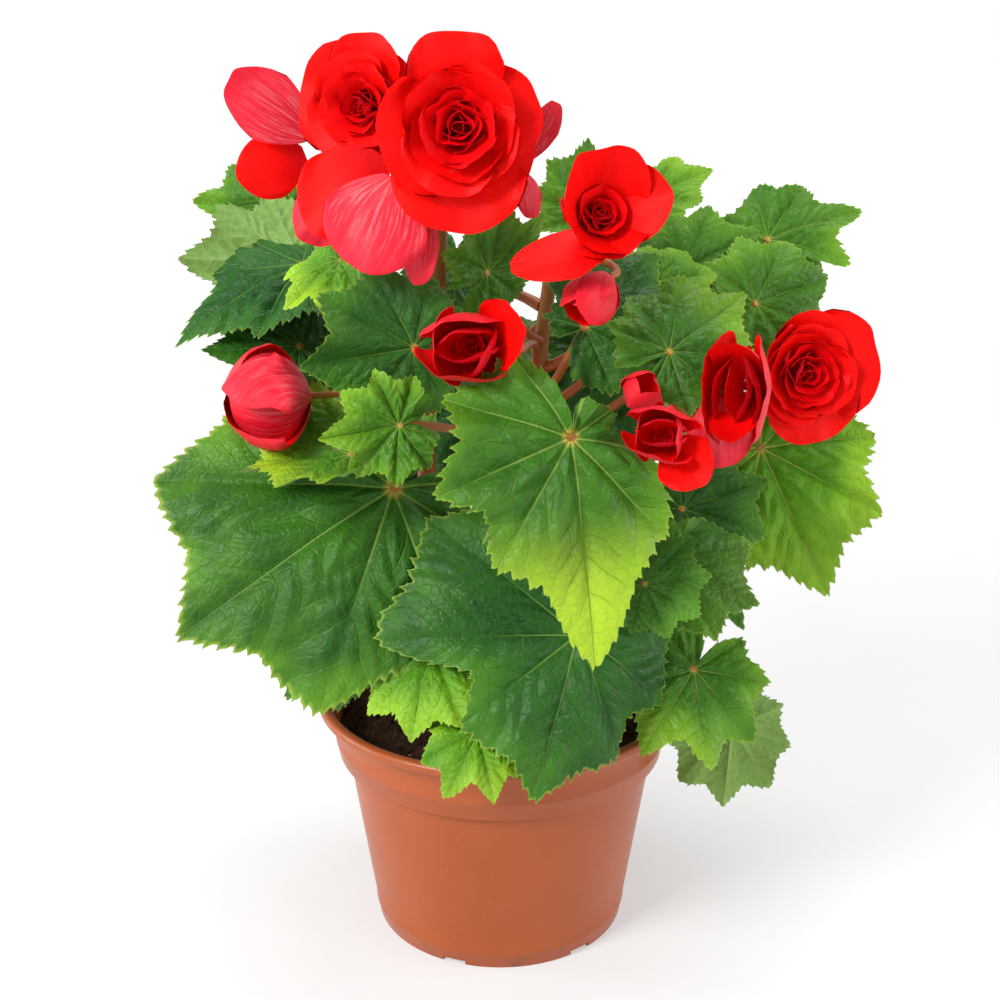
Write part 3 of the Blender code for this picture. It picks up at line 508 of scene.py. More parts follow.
class Nodes:
    """Short names for building a node tree: each call adds a node and returns its first output."""

    def __init__(self, name):
        self.material = bpy.data.materials.new(name)
        self.material.use_nodes = True
        self.tree = self.material.node_tree
        self.shader = self.tree.nodes["Principled BSDF"]

    def node(self, kind, **settings):
        made = self.tree.nodes.new(kind)
        for key, value in settings.items():
            setattr(made, key, value)
        return made

    def put(self, socket, value):
        if isinstance(value, bpy.types.NodeSocket):
            self.tree.links.new(value, socket)
        elif isinstance(value, tuple) and len(value) == 3 and socket.type == "RGBA":
            socket.default_value = (*value, 1.0)
        else:
            socket.default_value = value

    def math(self, operation, *values):
        made = self.node("ShaderNodeMath", operation=operation)
        for socket, value in zip(made.inputs, values):
            self.put(socket, value)
        return made.outputs[0]

    def times(self, first, second, plus=None):
        """The product of two values, and a third added where there is one."""
        if plus is None:
            return self.math("MULTIPLY", first, second)
        return self.math("MULTIPLY_ADD", first, second, plus)

    def plus(self, first, second):
        return self.math("ADD", first, second)

    def ramp(self, value, low, high, start=0.0, end=1.0):
        made = self.node("ShaderNodeMapRange", interpolation_type="SMOOTHSTEP")
        for socket, given in zip(made.inputs, (value, low, high, start, end)):
            self.put(socket, given)
        return made.outputs[0]

    def mix(self, share, first, second):
        made = self.node("ShaderNodeMix", data_type="RGBA")
        self.put(made.inputs[0], share)
        self.put(made.inputs[6], first)
        self.put(made.inputs[7], second)
        return made.outputs[2]

    def uv(self, name):
        made = self.node("ShaderNodeUVMap", uv_map=name)
        parts = self.node("ShaderNodeSeparateXYZ")
        self.tree.links.new(made.outputs[0], parts.inputs[0])
        return parts.outputs[0], parts.outputs[1]

    def tint(self):
        made = self.node("ShaderNodeVertexColor", layer_name="tint")
        parts = self.node("ShaderNodeSeparateColor")
        self.tree.links.new(made.outputs[0], parts.inputs[0])
        return parts.outputs[0], parts.outputs[1], parts.outputs[2], made.outputs[1]

    def noise(self, scale, detail=4.0, roughness=0.55, vector=None):
        made = self.node("ShaderNodeTexNoise")
        made.inputs["Scale"].default_value = scale
        made.inputs["Detail"].default_value = detail
        made.inputs["Roughness"].default_value = roughness
        self.put(made.inputs["Vector"], vector if vector is not None else self.place())
        return made.outputs["Fac"]

    def place(self):
        return self.node("ShaderNodeTexCoord").outputs["Object"]

    def combine(self, x, y, z=0.0):
        made = self.node("ShaderNodeCombineXYZ")
        for socket, value in zip(made.inputs, (x, y, z)):
            self.put(socket, value)
        return made.outputs[0]

    def bump(self, height, strength, distance):
        made = self.node("ShaderNodeBump")
        made.inputs["Strength"].default_value = strength
        made.inputs["Distance"].default_value = distance
        self.put(made.inputs["Height"], height)
        return made.outputs[0]

    def surface(self, colour, roughness, normal=None, **constants):
        self.put(self.shader.inputs["Base Color"], colour)
        self.put(self.shader.inputs["Roughness"], roughness)
        if normal is not None:
            self.put(self.shader.inputs["Normal"], normal)
        for key, value in constants.items():
            self.shader.inputs[key.replace("_", " ")].default_value = value
        return self.material


def leaf_material(name, underside):
    """Blade colour and relief from the vein map: along and away from the nearest primary vein."""
    n = Nodes(name)
    along, away = n.uv("vein")
    rim, tone, tip, lime = n.tint()
    broad = n.noise(32.0, 3.0)
    fine = n.noise(300.0, 5.0, 0.65)
    near = n.times(n.noise(75.0, 3.0), 0.002, away)
    width = n.math("MAXIMUM", n.times(along, -0.75, 1.0), 0.3)
    primary = n.ramp(n.math("DIVIDE", near, width), 0.003, 0.012, 1.0, 0.0)
    steps, _ = n.uv("cell")
    between = n.times(n.math("PINGPONG", steps, 0.5), 2.0)
    secondary = n.times(n.ramp(between, 0.0, 0.11, 1.0, 0.0), n.ramp(rim, 0.99, 0.75, 0.15, 1.0))
    cells = n.node("ShaderNodeTexVoronoi", feature="DISTANCE_TO_EDGE")
    cells.inputs["Scale"].default_value = 300.0
    n.put(cells.inputs["Vector"], n.place())
    net = n.ramp(cells.outputs["Distance"], 0.0, 0.20, 1.0, 0.0)
    lines = n.math("MAXIMUM", primary, n.times(secondary, 0.55))
    margin = n.ramp(rim, n.math("SUBTRACT", 0.992, n.times(lime, 0.05)), 1.0)
    if underside:
        body = n.mix(tone, (0.10, 0.22, 0.045), (0.22, 0.36, 0.07))
        body = n.mix(n.times(broad, 0.5), body, (0.09, 0.19, 0.03))
        body = n.mix(n.times(net, 0.25), body, (0.28, 0.42, 0.14))
        colour = n.mix(n.times(lines, 0.7), body, (0.42, 0.52, 0.22))
        height = n.plus(lines, n.times(net, 0.15))
        roughness = n.times(fine, 0.2, 0.50)
        return n.surface(colour, roughness, n.bump(height, 0.7, 0.0006), Specular_IOR_Level=0.2)

    def toned(dark, light):
        return n.mix(tone, dark, light)

    body = toned((0.006, 0.042, 0.007), (0.060, 0.210, 0.006))
    lit = toned((0.018, 0.098, 0.009), (0.140, 0.360, 0.011))
    body = n.mix(n.ramp(broad, 0.35, 0.7, 0.0, 0.8), body, lit)
    hollow = n.times(n.ramp(between, 0.0, 0.8, 1.0, 0.0), n.ramp(away, 0.0, 0.05, 0.3, 1.0))
    body = n.mix(n.times(hollow, 0.13), body, toned((0.026, 0.125, 0.011), (0.20, 0.43, 0.016)))
    tip_share = n.times(tip, n.ramp(broad, 0.15, 0.75, 0.7, 1.0))
    body = n.mix(tip_share, body, (0.42, 0.60, 0.028))
    edge_share = n.times(n.ramp(rim, 0.55, 1.0), n.times(lime, n.ramp(broad, 0.3, 0.7)))
    body = n.mix(edge_share, body, toned((0.090, 0.270, 0.012), (0.34, 0.54, 0.020)))
    net_share = n.times(net, n.times(tip_share, -0.20, 0.24))
    body = n.mix(net_share, body, toned((0.020, 0.11, 0.015), (0.15, 0.36, 0.02)))
    veined = n.mix(n.times(secondary, 0.25), body, toned((0.045, 0.17, 0.02), (0.25, 0.45, 0.04)))
    veined = n.mix(n.times(primary, 0.70), veined, toned((0.13, 0.27, 0.04), (0.40, 0.50, 0.10)))
    veined = n.mix(n.ramp(along, 0.010, 0.050, 0.9, 0.0), veined, (0.50, 0.36, 0.06))
    colour = n.mix(n.times(margin, 0.55), veined, (0.30, 0.40, 0.045))
    relief = n.math("SUBTRACT", n.times(between, 0.40), lines)
    relief = n.plus(relief, n.times(net, -0.30))
    relief = n.plus(relief, n.times(fine, 0.55))
    roughness = n.times(fine, 0.24, 0.30)
    return n.surface(colour, roughness, n.bump(relief, 0.65, 0.0008), Specular_IOR_Level=0.17)


def petal_material(name, back):
    """Petal colour: streaks run from the base, and the tint is rim, depth in the flower, paleness."""
    n = Nodes(name)
    across, along = n.uv("petal")
    rim, depth, pale, _ = n.tint()
    streak_place = n.combine(n.times(across, 26.0), n.times(along, 2.2), depth)
    streaks = n.noise(1.0, 5.0, 0.65, vector=streak_place)
    broad = n.noise(55.0, 3.0)
    if back:
        body = n.mix(n.ramp(broad, 0.3, 0.75), (0.56, 0.006, 0.012), (0.66, 0.012, 0.030))
        pink = n.mix(n.ramp(broad, 0.3, 0.75), (0.58, 0.008, 0.024), (0.70, 0.024, 0.046))
        body = n.mix(pale, body, pink)
        share = n.times(n.ramp(streaks, 0.46, 0.66), n.ramp(along, 1.0, 0.15, 0.06, 1.0))
        share = n.times(share, n.times(pale, 0.48, 0.12))
        colour = n.mix(share, body, (0.78, 0.26, 0.27))
        colour = n.mix(n.ramp(rim, 0.90, 1.0, 0.0, 0.7), colour, (0.70, 0.005, 0.004))
        return n.surface(colour, 0.40, n.bump(streaks, 0.55, 0.0006), Specular_IOR_Level=0.14)
    body = n.mix(n.ramp(broad, 0.3, 0.7), (0.72, 0.0015, 0.0010), (0.86, 0.0035, 0.0010))
    body = n.mix(n.times(depth, 0.8), body, (0.68, 0.0016, 0.0110))
    body = n.mix(n.ramp(along, 0.50, 0.0, 0.0, 0.60), body, (0.44, 0.0, 0.005))
    colour = n.mix(n.times(n.ramp(streaks, 0.35, 0.7), 0.22), body, (0.46, 0.0, 0.003))
    return n.surface(colour, 0.48, n.bump(streaks, 0.40, 0.0005), Specular_IOR_Level=0.09)


def stem_material(name):
    n = Nodes(name)
    around, along = n.uv("stem")
    streak_place = n.combine(n.times(around, 22.0), n.times(along, 6.0))
    streaks = n.noise(1.0, 4.0, 0.6, vector=streak_place)
    broad = n.noise(45.0, 3.0)
    body = n.mix(n.ramp(broad, 0.3, 0.7), (0.26, 0.030, 0.010), (0.42, 0.085, 0.018))
    body = n.mix(n.ramp(streaks, 0.45, 0.75, 0.0, 0.5), body, (0.42, 0.13, 0.03))
    _, green, _, _ = n.tint()
    colour = n.mix(green, body, (0.19, 0.22, 0.025))
    return n.surface(colour, 0.36, n.bump(streaks, 0.3, 0.0005), Specular_IOR_Level=0.35)


def pot_material():
    n = Nodes("terracotta_plastic")
    place = n.place()
    broad = n.noise(22.0, 4.0)
    speck = n.noise(900.0, 2.0)
    flat = n.node("ShaderNodeMapping")
    n.put(flat.inputs["Vector"], place)
    flat.inputs["Scale"].default_value = (1.0, 1.0, 4.0)
    scuffs = n.noise(70.0, 8.0, 0.7, vector=flat.outputs[0])
    body = n.mix(n.ramp(broad, 0.3, 0.7), (0.300, 0.060, 0.011), (0.330, 0.068, 0.014))
    body = n.mix(n.ramp(speck, 0.62, 0.78, 0.0, 0.16), body, (0.60, 0.22, 0.10))
    body = n.mix(n.ramp(scuffs, 0.60, 0.74, 0.0, 0.15), body, (0.58, 0.21, 0.10))
    height = n.node("ShaderNodeSeparateXYZ")
    n.put(height.inputs[0], place)
    low = n.ramp(height.outputs[2], 0.010, 0.0, 0.0, 1.0)
    dirt = n.times(low, n.ramp(n.noise(160.0, 5.0), 0.5, 0.66))
    lip = n.times(n.ramp(height.outputs[2], 0.086, 0.090), n.ramp(n.noise(210.0, 5.0), 0.60, 0.72))
    soiled = n.times(n.math("MAXIMUM", dirt, lip), 0.55)
    colour = n.mix(soiled, body, (0.09, 0.045, 0.025))
    roughness = n.times(scuffs, 0.20, 0.26)
    normal = n.bump(n.plus(n.times(speck, 0.4), scuffs), 0.10, 0.0004)
    return n.surface(colour, roughness, normal, Specular_IOR_Level=0.42)


def compost_material(name, dark, pale):
    n = Nodes(name)
    broad = n.noise(60.0, 5.0)
    fine = n.noise(520.0, 6.0, 0.7)
    colour = n.mix(n.ramp(fine, 0.35, 0.7), dark, pale)
    colour = n.mix(n.ramp(broad, 0.55, 0.75, 0.0, 0.4), colour, (0.13, 0.06, 0.028))
    normal = n.bump(n.plus(fine, broad), 0.9, 0.0016)
    return n.surface(colour, 0.85, normal, Specular_IOR_Level=0.2)


# Leaves --------------------------------------------------------------------------------------


def lobed(off, outline):
    """Reach at these angles: pointed at the lobes' tips and rounded between them."""
    angles, reaches = np.array(outline, float).T
    span = np.clip(np.searchsorted(angles, off, side="right") - 1, 0, len(angles) - 2)
    share = (off - angles[span]) / (angles[span + 1] - angles[span])
    start, end = reaches[span], reaches[span + 1]
    share = np.where(end > start, share ** 1.35, 1 - (1 - share) ** 1.35)
    return start + (end - start) * share


def blade_reach(leaf, angles, lobes):
    """How far the blade reaches at these angles from its midrib, positive to the left."""
    off = np.abs(angles)
    share = lobed(off, BLADE_OUTLINE) * (1 - lobes) + lobed(off, DEEP_OUTLINE) * lobes
    width = np.where(angles > 0, leaf.left, leaf.right)
    back = np.where(angles > 0, leaf.left_back, leaf.right_back)
    share = share * (1 + (width - 1) * ease(off / SHOULDER_ANGLE))
    share = share * (1 + (back - 1) * ease((off - BACK_ANGLES[0]) / (BACK_ANGLES[1] - BACK_ANGLES[0])))
    return leaf.length * share


def toothed_reach(leaf, angles, lobes, rng):
    """The reach with its double row of forward-leaning teeth."""
    plain = blade_reach(leaf, angles, lobes)
    x, y = plain * np.cos(np.radians(angles)), plain * np.sin(np.radians(angles))
    steps = np.hypot(np.diff(x, append=x[:1]), np.diff(y, append=y[:1]))
    run = np.concatenate([[0.0], np.cumsum(steps)[:-1]])
    from_tip = np.full(len(angles), np.inf)
    for vein in VEINS:
        here = run[np.argmin(np.abs(angles - vein))]
        total = run[-1] + steps[-1]
        gap = np.abs(run - here)
        from_tip = np.minimum(from_tip, np.minimum(gap, total - gap))
    pitch = np.clip(leaf.length * 0.085, 2.2, 5.0)
    phase = from_tip / pitch + 0.12 * np.sin(run / pitch * 1.7 + rng.uniform(0, 6))
    big = 1.0 - (phase % 1.0)
    big = np.where(big > 0.78, (1 - big) / 0.22, big / 0.78)
    small = 1.0 - ((phase * 3.0 + 0.3) % 1.0)
    number = np.floor(phase).astype(int) % 64
    size = rng.uniform(0.6, 1.25, 64)[number]
    depth = pitch * (0.62 * size * (big - 0.40) + 0.24 * (small - 0.5))
    return plain + depth * ease(plain / leaf.length * 3.0) - 0.15 * pitch


def vein_map(angles, reach):
    """(along, away): distance along the nearest primary vein, and from it."""
    gap = np.abs((angles[..., None] - VEINS + 180.0) % 360.0 - 180.0)
    off = np.radians(gap.min(axis=-1))
    return reach * np.cos(off), reach * np.sin(off)


def side_steps(size, x, y, along, away, rng):
    """A whole number at each side vein and between whole numbers between them, unevenly spaced."""
    steps = (along - away * SIDE_VEIN_SLOPE) / (size * SIDE_VEIN_SPACING)
    for wide, tall, share in ((7.0, 8.0, 0.42), (15.0, 13.0, 0.22), (29.0, 31.0, 0.08)):
        lengthwise = np.sin(x / size * wide + rng.uniform(0, 6))
        steps = steps + share * lengthwise * np.sin(y / size * tall + rng.uniform(0, 6))
    return steps


def blade_height(leaf, look, x, y, away, steps, rho, angles, rng):
    """Relief of the blade over its bent sheet."""
    size = leaf.length
    cell = 0.5 - 0.5 * np.cos(2 * np.pi * steps)
    height = 0.020 * size * cell * np.minimum(away / (0.06 * size), 1.0) * (1 - rho ** 6)
    height -= 0.014 * size * np.exp(-((away / (0.028 * size)) ** 2)) * (1 - rho ** 8)
    height += look.pleat * 0.95 * away * ease(rho * 1.6) * (1 - 0.6 * rho ** 2)
    height += look.fold * np.abs(y)
    turn = np.radians(angles)
    wave = sum(
        share * np.sin(count * turn + rng.uniform(0, 6.28))
        for count, share in ((3, 0.9), (5, 0.6), (9, 0.5), (17, 0.28))
    )
    height += look.wave * 0.048 * size * wave * rho ** 2.4
    bump = np.sin(x / size * 5 + rng.uniform(0, 6)) * np.sin(y / size * 6 + rng.uniform(0, 6))
    small = np.sin(x / size * 13 + rng.uniform(0, 6)) * np.sin(y / size * 11 + rng.uniform(0, 6))
    return height + (0.022 * bump + 0.008 * small) * size * ease(rho * 3)


def blade_faces(rings, coarse_count):
    """Triangles of a blade's upper side: a fan, coarse rings, then rings of twice as many points."""
    fine_count = 2 * coarse_count
    faces = [(0, 1 + i, 1 + (i + 1) % coarse_count) for i in range(coarse_count)]
    for ring in range(rings - 1):
        faces += ring_faces(1 + ring * coarse_count, coarse_count)
    a = 1 + (rings - 1) * coarse_count
    b = a + coarse_count
    for i in range(coarse_count):
        j = (i + 1) % coarse_count
        faces.append((a + i, b + 2 * i, b + 2 * i + 1))
        faces.append((a + i, b + 2 * i + 1, a + j))
        faces.append((a + j, b + 2 * i + 1, b + (2 * i + 2) % fine_count))
    for ring in range(len(FINE_RINGS) - 1):
        faces += ring_faces(b + ring * fine_count, fine_count)
    return faces


def ring_faces(first, count):
    """Triangles between a ring of count points and the next one, split along like diagonals."""
    faces = []
    for i in range(count):
        j = (i + 1) % count
        faces.append((first + i, first + count + i, first + count + j))
        faces.append((first + i, first + count + j, first + j))
    return faces


def blade_points(leaf, lobes, rng):
    """(angles, reach, rho, rings, fine_count): the blade's points, ring by ring from the petiole out."""
    large = leaf.length > LARGE_LEAF
    fine_count = 540 if large else 300
    coarse_rings = np.linspace(0.0, INNER_SHARE, 18 if large else 11)[1:]
    fine_angles = -180.0 + 360.0 * np.arange(fine_count) / fine_count
    edge = toothed_reach(leaf, fine_angles, lobes, rng)
    plain = blade_reach(leaf, fine_angles, lobes)
    angles, reaches, rhos = [np.zeros(1)], [np.zeros(1)], [np.zeros(1)]
    for share in coarse_rings:
        angles.append(fine_angles[::2])
        reaches.append(plain[::2] * share * (1 - 0.04 * share))
        rhos.append(np.full(fine_count // 2, share))
    for share in FINE_RINGS:
        blend = (share - INNER_SHARE) / (1 - INNER_SHARE)
        angles.append(fine_angles)
        reaches.append(plain * share * (1 - blend) + edge * share * blend if share < 1 else edge)
        rhos.append(np.full(fine_count, share))
    return *map(np.concatenate, (angles, reaches, rhos)), len(coarse_rings), fine_count


def make_leaf(leaf, top, under, seed):
    look = LOOKS.get(leaf.name, Look())
    angles, reach, rho, rings, fine_count = blade_points(leaf, look.lobes, np.random.RandomState(seed))
    x, y = reach * np.cos(np.radians(angles)), reach * np.sin(np.radians(angles))
    along, away = vein_map(angles, reach)
    steps = side_steps(leaf.length, x, y, along, away, np.random.RandomState(seed + VEIN_SEED))
    relief_random = np.random.RandomState(seed + RELIEF_SEED)
    height = blade_height(leaf, look, x, y, away, steps, rho, angles, relief_random)
    bent_x, down = bent(x, leaf.droop, leaf.length)
    bent_y, fall = bent(y, leaf.sides, leaf.length * 0.7)
    place = frame_of(leaf.at, leaf.heading, leaf.pitch, leaf.roll)
    upper = placed(np.stack([bent_x, bent_y, down + fall + height], 1), place)
    rim = len(upper) - fine_count
    thick = BLADE_THICKNESS * (1 - rho ** 10)
    lower = (upper - thick[:, None] * np.array(place)[:3, 2])[:rim]
    faces = blade_faces(rings, fine_count // 2)
    count = len(upper)
    below = [tuple(reversed([v if v >= rim else v + count for v in face])) for face in faces]

    def both_sides(values):
        return np.concatenate([values, values[:rim]])

    vein = np.stack([along, away], 1) / leaf.length
    cell = np.stack([steps, rho], 1)
    tip = look.tip * ease((x / leaf.length - 0.25) / 0.55)
    made = new_object(
        leaf.name + "_blade", np.concatenate([upper, lower]), faces + below, [top, under],
        indices=[0] * len(faces) + [1] * len(below),
        uvs={"vein": both_sides(vein), "cell": both_sides(cell)},
        tint=both_sides(tint_of(count, rho, look.tone, tip, look.lime)),
    )
    finish_piece(made, "leaf", *([leaf.name] if leaf in LEAVES else []))


def stem_point(stem, height):
    path = smooth_path(stem.path, STEM_STEPS)
    height = min(max(height, path[0].z), path[-1].z)
    for i, (low, high) in enumerate(zip(path, path[1:])):
        if low.z <= height <= high.z:
            share = (height - low.z) / (high.z - low.z)
            along = (i + share) / (len(path) - 1)
            return low.lerp(high, share), stem.radii[0] + (stem.radii[1] - stem.radii[0]) * along
    return path[-1], stem.radii[1]


def petiole_path(leaf, stems):
    place = frame_of(leaf.at, leaf.heading, leaf.pitch, leaf.roll)
    end = place @ Vector((0, 0, 0))
    forward = place.to_3x3() @ Vector((1, 0, 0))
    upper = place.to_3x3() @ Vector((0, 0, 1))
    centre, radius = stem_point(stems[leaf.stem], leaf.at[2] - leaf.drop)
    outward = (end - centre) * Vector((1, 1, 0))
    outward.normalize()
    start = centre + outward * (radius - 0.4)
    span = (end - start).length
    first = start + (outward + Vector((0, 0, 0.4))) * span * 0.3
    second = end - (forward * 0.45 + upper * 0.9) * span * 0.28
    return curve(start, first, second, end - upper * 0.5, PETIOLE_STEPS)


def make_petiole(leaf, stems, finish):
    path = petiole_path(leaf, stems)
    count = len(path)
    radii = [
        PETIOLE_RADIUS * (1.02 - 0.22 * i / count + 0.35 * math.exp(-i * 0.9)) for i in range(count)
    ]
    points, faces, along, around = tube(path, radii, 10)
    span = sum((b - a).length for a, b in zip(path, path[1:]))
    look = LOOKS.get(leaf.name, Look())
    green = [0.08 + 0.30 * t * (0.4 + look.tone) for t in along]
    uv = np.stack([around, np.array(along) * span / 10], 1)
    made = new_object(
        leaf.name + "_petiole", points, faces, [finish],
        uvs={"stem": uv}, tint=tint_of(len(points), green=green),
    )
    face_out(made)
    finish_piece(made, "stem")


# Flowers -------------------------------------------------------------------------------------


def flower_axes(flower):
    """(right, up, forward) unit vectors of a flower seen from its front."""
    place = frame_of((0, 0, 0), flower.azimuth, flower.elevation, 0).to_3x3()
    return (np.array(place @ Vector((0, 1, 0))), np.array(place @ Vector((0, 0, 1))),
            np.array(place @ Vector((1, 0, 0))))


def petal_sheet(petal, rng, ruffle=1.0, across=16, along=14):
    """A grid of petal points: sideways, outward, forward, lean, u, v and nearness to the rim."""
    u = np.linspace(-1, 1, across + 1)[None, :].repeat(along + 1, 0)
    v = np.linspace(0.0, 1, along + 1)[:, None].repeat(across + 1, 1)
    drop = 0.58 + 0.06 * rng.uniform(-1, 1)
    reach = v * (1 - drop * (1 - np.sqrt(1 - (0.98 * u) ** 2)))
    reach = reach * (1 + 0.012 * np.sin(u * rng.uniform(5, 9) + rng.uniform(0, 6)) * v ** 2)
    spread = 0.22 + 0.78 * np.sin(np.minimum(reach / 0.56, 1.0) * np.pi / 2) ** 0.85
    half = petal.width / 2 * spread
    fine = np.linspace(0, 1.15, 60)
    angle = np.radians(petal.open0 + (petal.open1 - petal.open0) * ease(fine) ** 0.9)
    step = petal.length * (fine[1] - fine[0])
    line_out = petal.out + np.concatenate([[0], np.cumsum(np.sin(angle[:-1]) * step)])
    line_forward = petal.forward + np.concatenate([[0], np.cumsum(np.cos(angle[:-1]) * step)])
    out = np.interp(reach, fine, line_out)
    forward = np.interp(reach, fine, line_forward)
    lean = np.interp(reach, fine, angle)
    cup = np.radians(max(abs(petal.cup), 1.0)) * np.sign(petal.cup if petal.cup else 1) * (0.6 + 0.4 * v)
    side = half * np.sin(cup * u) / cup
    inward = half * (1 - np.cos(cup * u)) / cup
    size = petal.width * 0.036 * ruffle
    wave = size * v ** 2 * (
        np.sin(u * rng.uniform(4, 7) + rng.uniform(0, 6)) * 0.7
        + np.abs(u) ** 2 * np.sin(v * rng.uniform(6, 10) + np.sign(u) * rng.uniform(0, 3))
        + 0.22 * np.sin(u * rng.uniform(11, 15) + rng.uniform(0, 6)) * v
    )
    inward = inward + wave
    out = out - inward * np.cos(lean)
    forward = forward + inward * np.sin(lean)
    rim = np.maximum(np.abs(u) ** 3, v ** 5)
    return side, out, forward, lean, u, v, rim


def sheet_faces(rows, columns, flipped=False):
    """(triangles, lower) of a grid: lower is each point's number on the underside, shared at the border."""
    grid = np.arange(rows * columns).reshape(rows, columns)
    corners = [grid[:-1, :-1], grid[:-1, 1:], grid[1:, 1:], grid[1:, :-1]]
    if flipped:
        corners = [corners[0], *reversed(corners[1:])]
    quads = np.stack(corners, -1).reshape(-1, 4)
    border = np.zeros((rows, columns), bool)
    border[0] = border[-1] = border[:, 0] = border[:, -1] = True
    lower = np.where(border.ravel(), grid.ravel(), grid.ravel() + rows * columns)
    return np.concatenate([quads[:, [0, 1, 2]], quads[:, [0, 2, 3]]]), lower


def core_shape(flower, radius, axes):
    """(points, faces) of the small closed core that petals stand round."""
    right, up, front = axes
    turns = np.linspace(0, math.tau, CORE_SIDES, endpoint=False)
    points = []
    for height, share in CORE_RINGS:
        ring = radius * share * (np.cos(turns)[:, None] * right + np.sin(turns)[:, None] * up)
        points.append(np.array(flower.at) + ring + front * radius * height)
    count = CORE_SIDES * len(CORE_RINGS)
    faces = []
    for first in range(0, count - CORE_SIDES, CORE_SIDES):
        for k in range(CORE_SIDES):
            after = (k + 1) % CORE_SIDES
            faces.append((first + k, first + after, first + CORE_SIDES + after, first + CORE_SIDES + k))
    faces += [tuple(reversed(range(CORE_SIDES))), tuple(range(count - CORE_SIDES, count))]
    return np.concatenate(points), faces


def petals_object(name, flower, petals, materials, seed, ruffle, deep, pale, core):
    """All these petals of a flower as one mesh of thin closed sheets, round a core of that radius."""
    axes = flower_axes(flower)
    right, up, front = axes
    points, faces, indices, uvs, tints = [], [], [], [], []
    base = 0
    if core:
        core_points, faces = core_shape(flower, core, axes)
        base = len(core_points)
        points.append(core_points)
        indices += [0] * len(faces)
        uvs.append(np.full((base, 2), 0.02))
        tints.append(tint_of(base, green=1.0))
    for number, petal in enumerate(petals):
        rng = np.random.RandomState(seed + number * 7)
        side, out, forward, lean, u, v, rim = petal_sheet(petal, rng, ruffle)
        turn = math.radians(petal.turn)
        outward = right * math.sin(turn) + up * math.cos(turn)
        sideways = right * math.cos(turn) - up * math.sin(turn)
        place = (np.array(flower.at) + side[..., None] * sideways + out[..., None] * outward
                 + forward[..., None] * front)
        inner_side = -np.cos(lean)[..., None] * outward + np.sin(lean)[..., None] * front
        normal = np.cross(np.gradient(place, axis=1), np.gradient(place, axis=0))
        normal /= np.linalg.norm(normal, axis=-1, keepdims=True) + 1e-9
        normal *= np.sign((normal * inner_side).sum(-1, keepdims=True))
        thick = PETAL_THICKNESS * (1 - rim ** 4)
        lower = place - normal * thick[..., None]
        triangles, lower_index = sheet_faces(*side.shape)
        points += [place.reshape(-1, 3), lower.reshape(-1, 3)]
        faces += (triangles[:, ::-1] + base).tolist() + (lower_index[triangles] + base).tolist()
        indices += [0] * len(triangles) + [1] * len(triangles)
        uvs += [petal_uv(u, v)] * 2
        tints += [tint_of(side.size, rim.ravel(), deep[number], pale)] * 2
        base += 2 * side.size
    made = new_object(
        name, np.concatenate(points), faces, materials, indices, {"petal": np.concatenate(uvs)},
        np.concatenate(tints),
    )
    loose = bmesh.new()
    loose.from_mesh(made.data)
    bmesh.ops.delete(loose, geom=[vert for vert in loose.verts if not vert.link_faces], context="VERTS")
    loose.to_mesh(made.data)
    loose.free()
    return made


def petal_uv(u, v):
    return np.stack([u.ravel() * 0.5 + 0.5, v.ravel()], 1)


def whorl(count, turn, length, width, open0, open1, cup, out, forward, rng):
    """A ring of like petals, each a little different."""
    return [
        OpenPetal(turn + 360 * i / count + rng.uniform(-9, 9), length * rng.uniform(0.92, 1.08),
                  width * rng.uniform(0.92, 1.08), open0 + rng.uniform(-4, 4), open1 + rng.uniform(-7, 7),
                  cup, out, forward)
        for i in range(count)
    ]


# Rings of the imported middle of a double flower, from the outside in: how many petals, how deep in the
# flower they count, and turn, length, width, lean at the base and tip, cup, out and forward. Lengths
# are shares of the middle's radius.
WHORLS = (
    (5, 0.10, 20, 0.66, 0.92, 40, 60, 30, 0.10, 0.02),
    (4, 0.30, 60, 0.56, 0.84, 24, 40, 42, 0.09, 0.05),
    (4, 0.50, 15, 0.48, 0.66, 14, 22, 50, 0.07, 0.07),
    (3, 0.72, 50, 0.42, 0.56, 8, 10, 60, 0.05, 0.08),
    (3, 0.95, 100, 0.36, 0.34, 2, 2, 70, 0.03, 0.09),
)
OUTER_WHORL = WHORLS[0][0]  # petals in the outermost ring, which half-open flowers go without


def heart_petals(radius, rng):
    """(petals, depths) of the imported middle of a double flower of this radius."""
    petals, depths = [], []
    for count, depth, turn, length, width, open0, open1, cup, out, forward in WHORLS:
        petals += whorl(count, turn, length * radius, width * radius, open0, open1, cup, out * radius,
                        forward * radius, rng)
        depths += [depth] * count
    return petals, depths


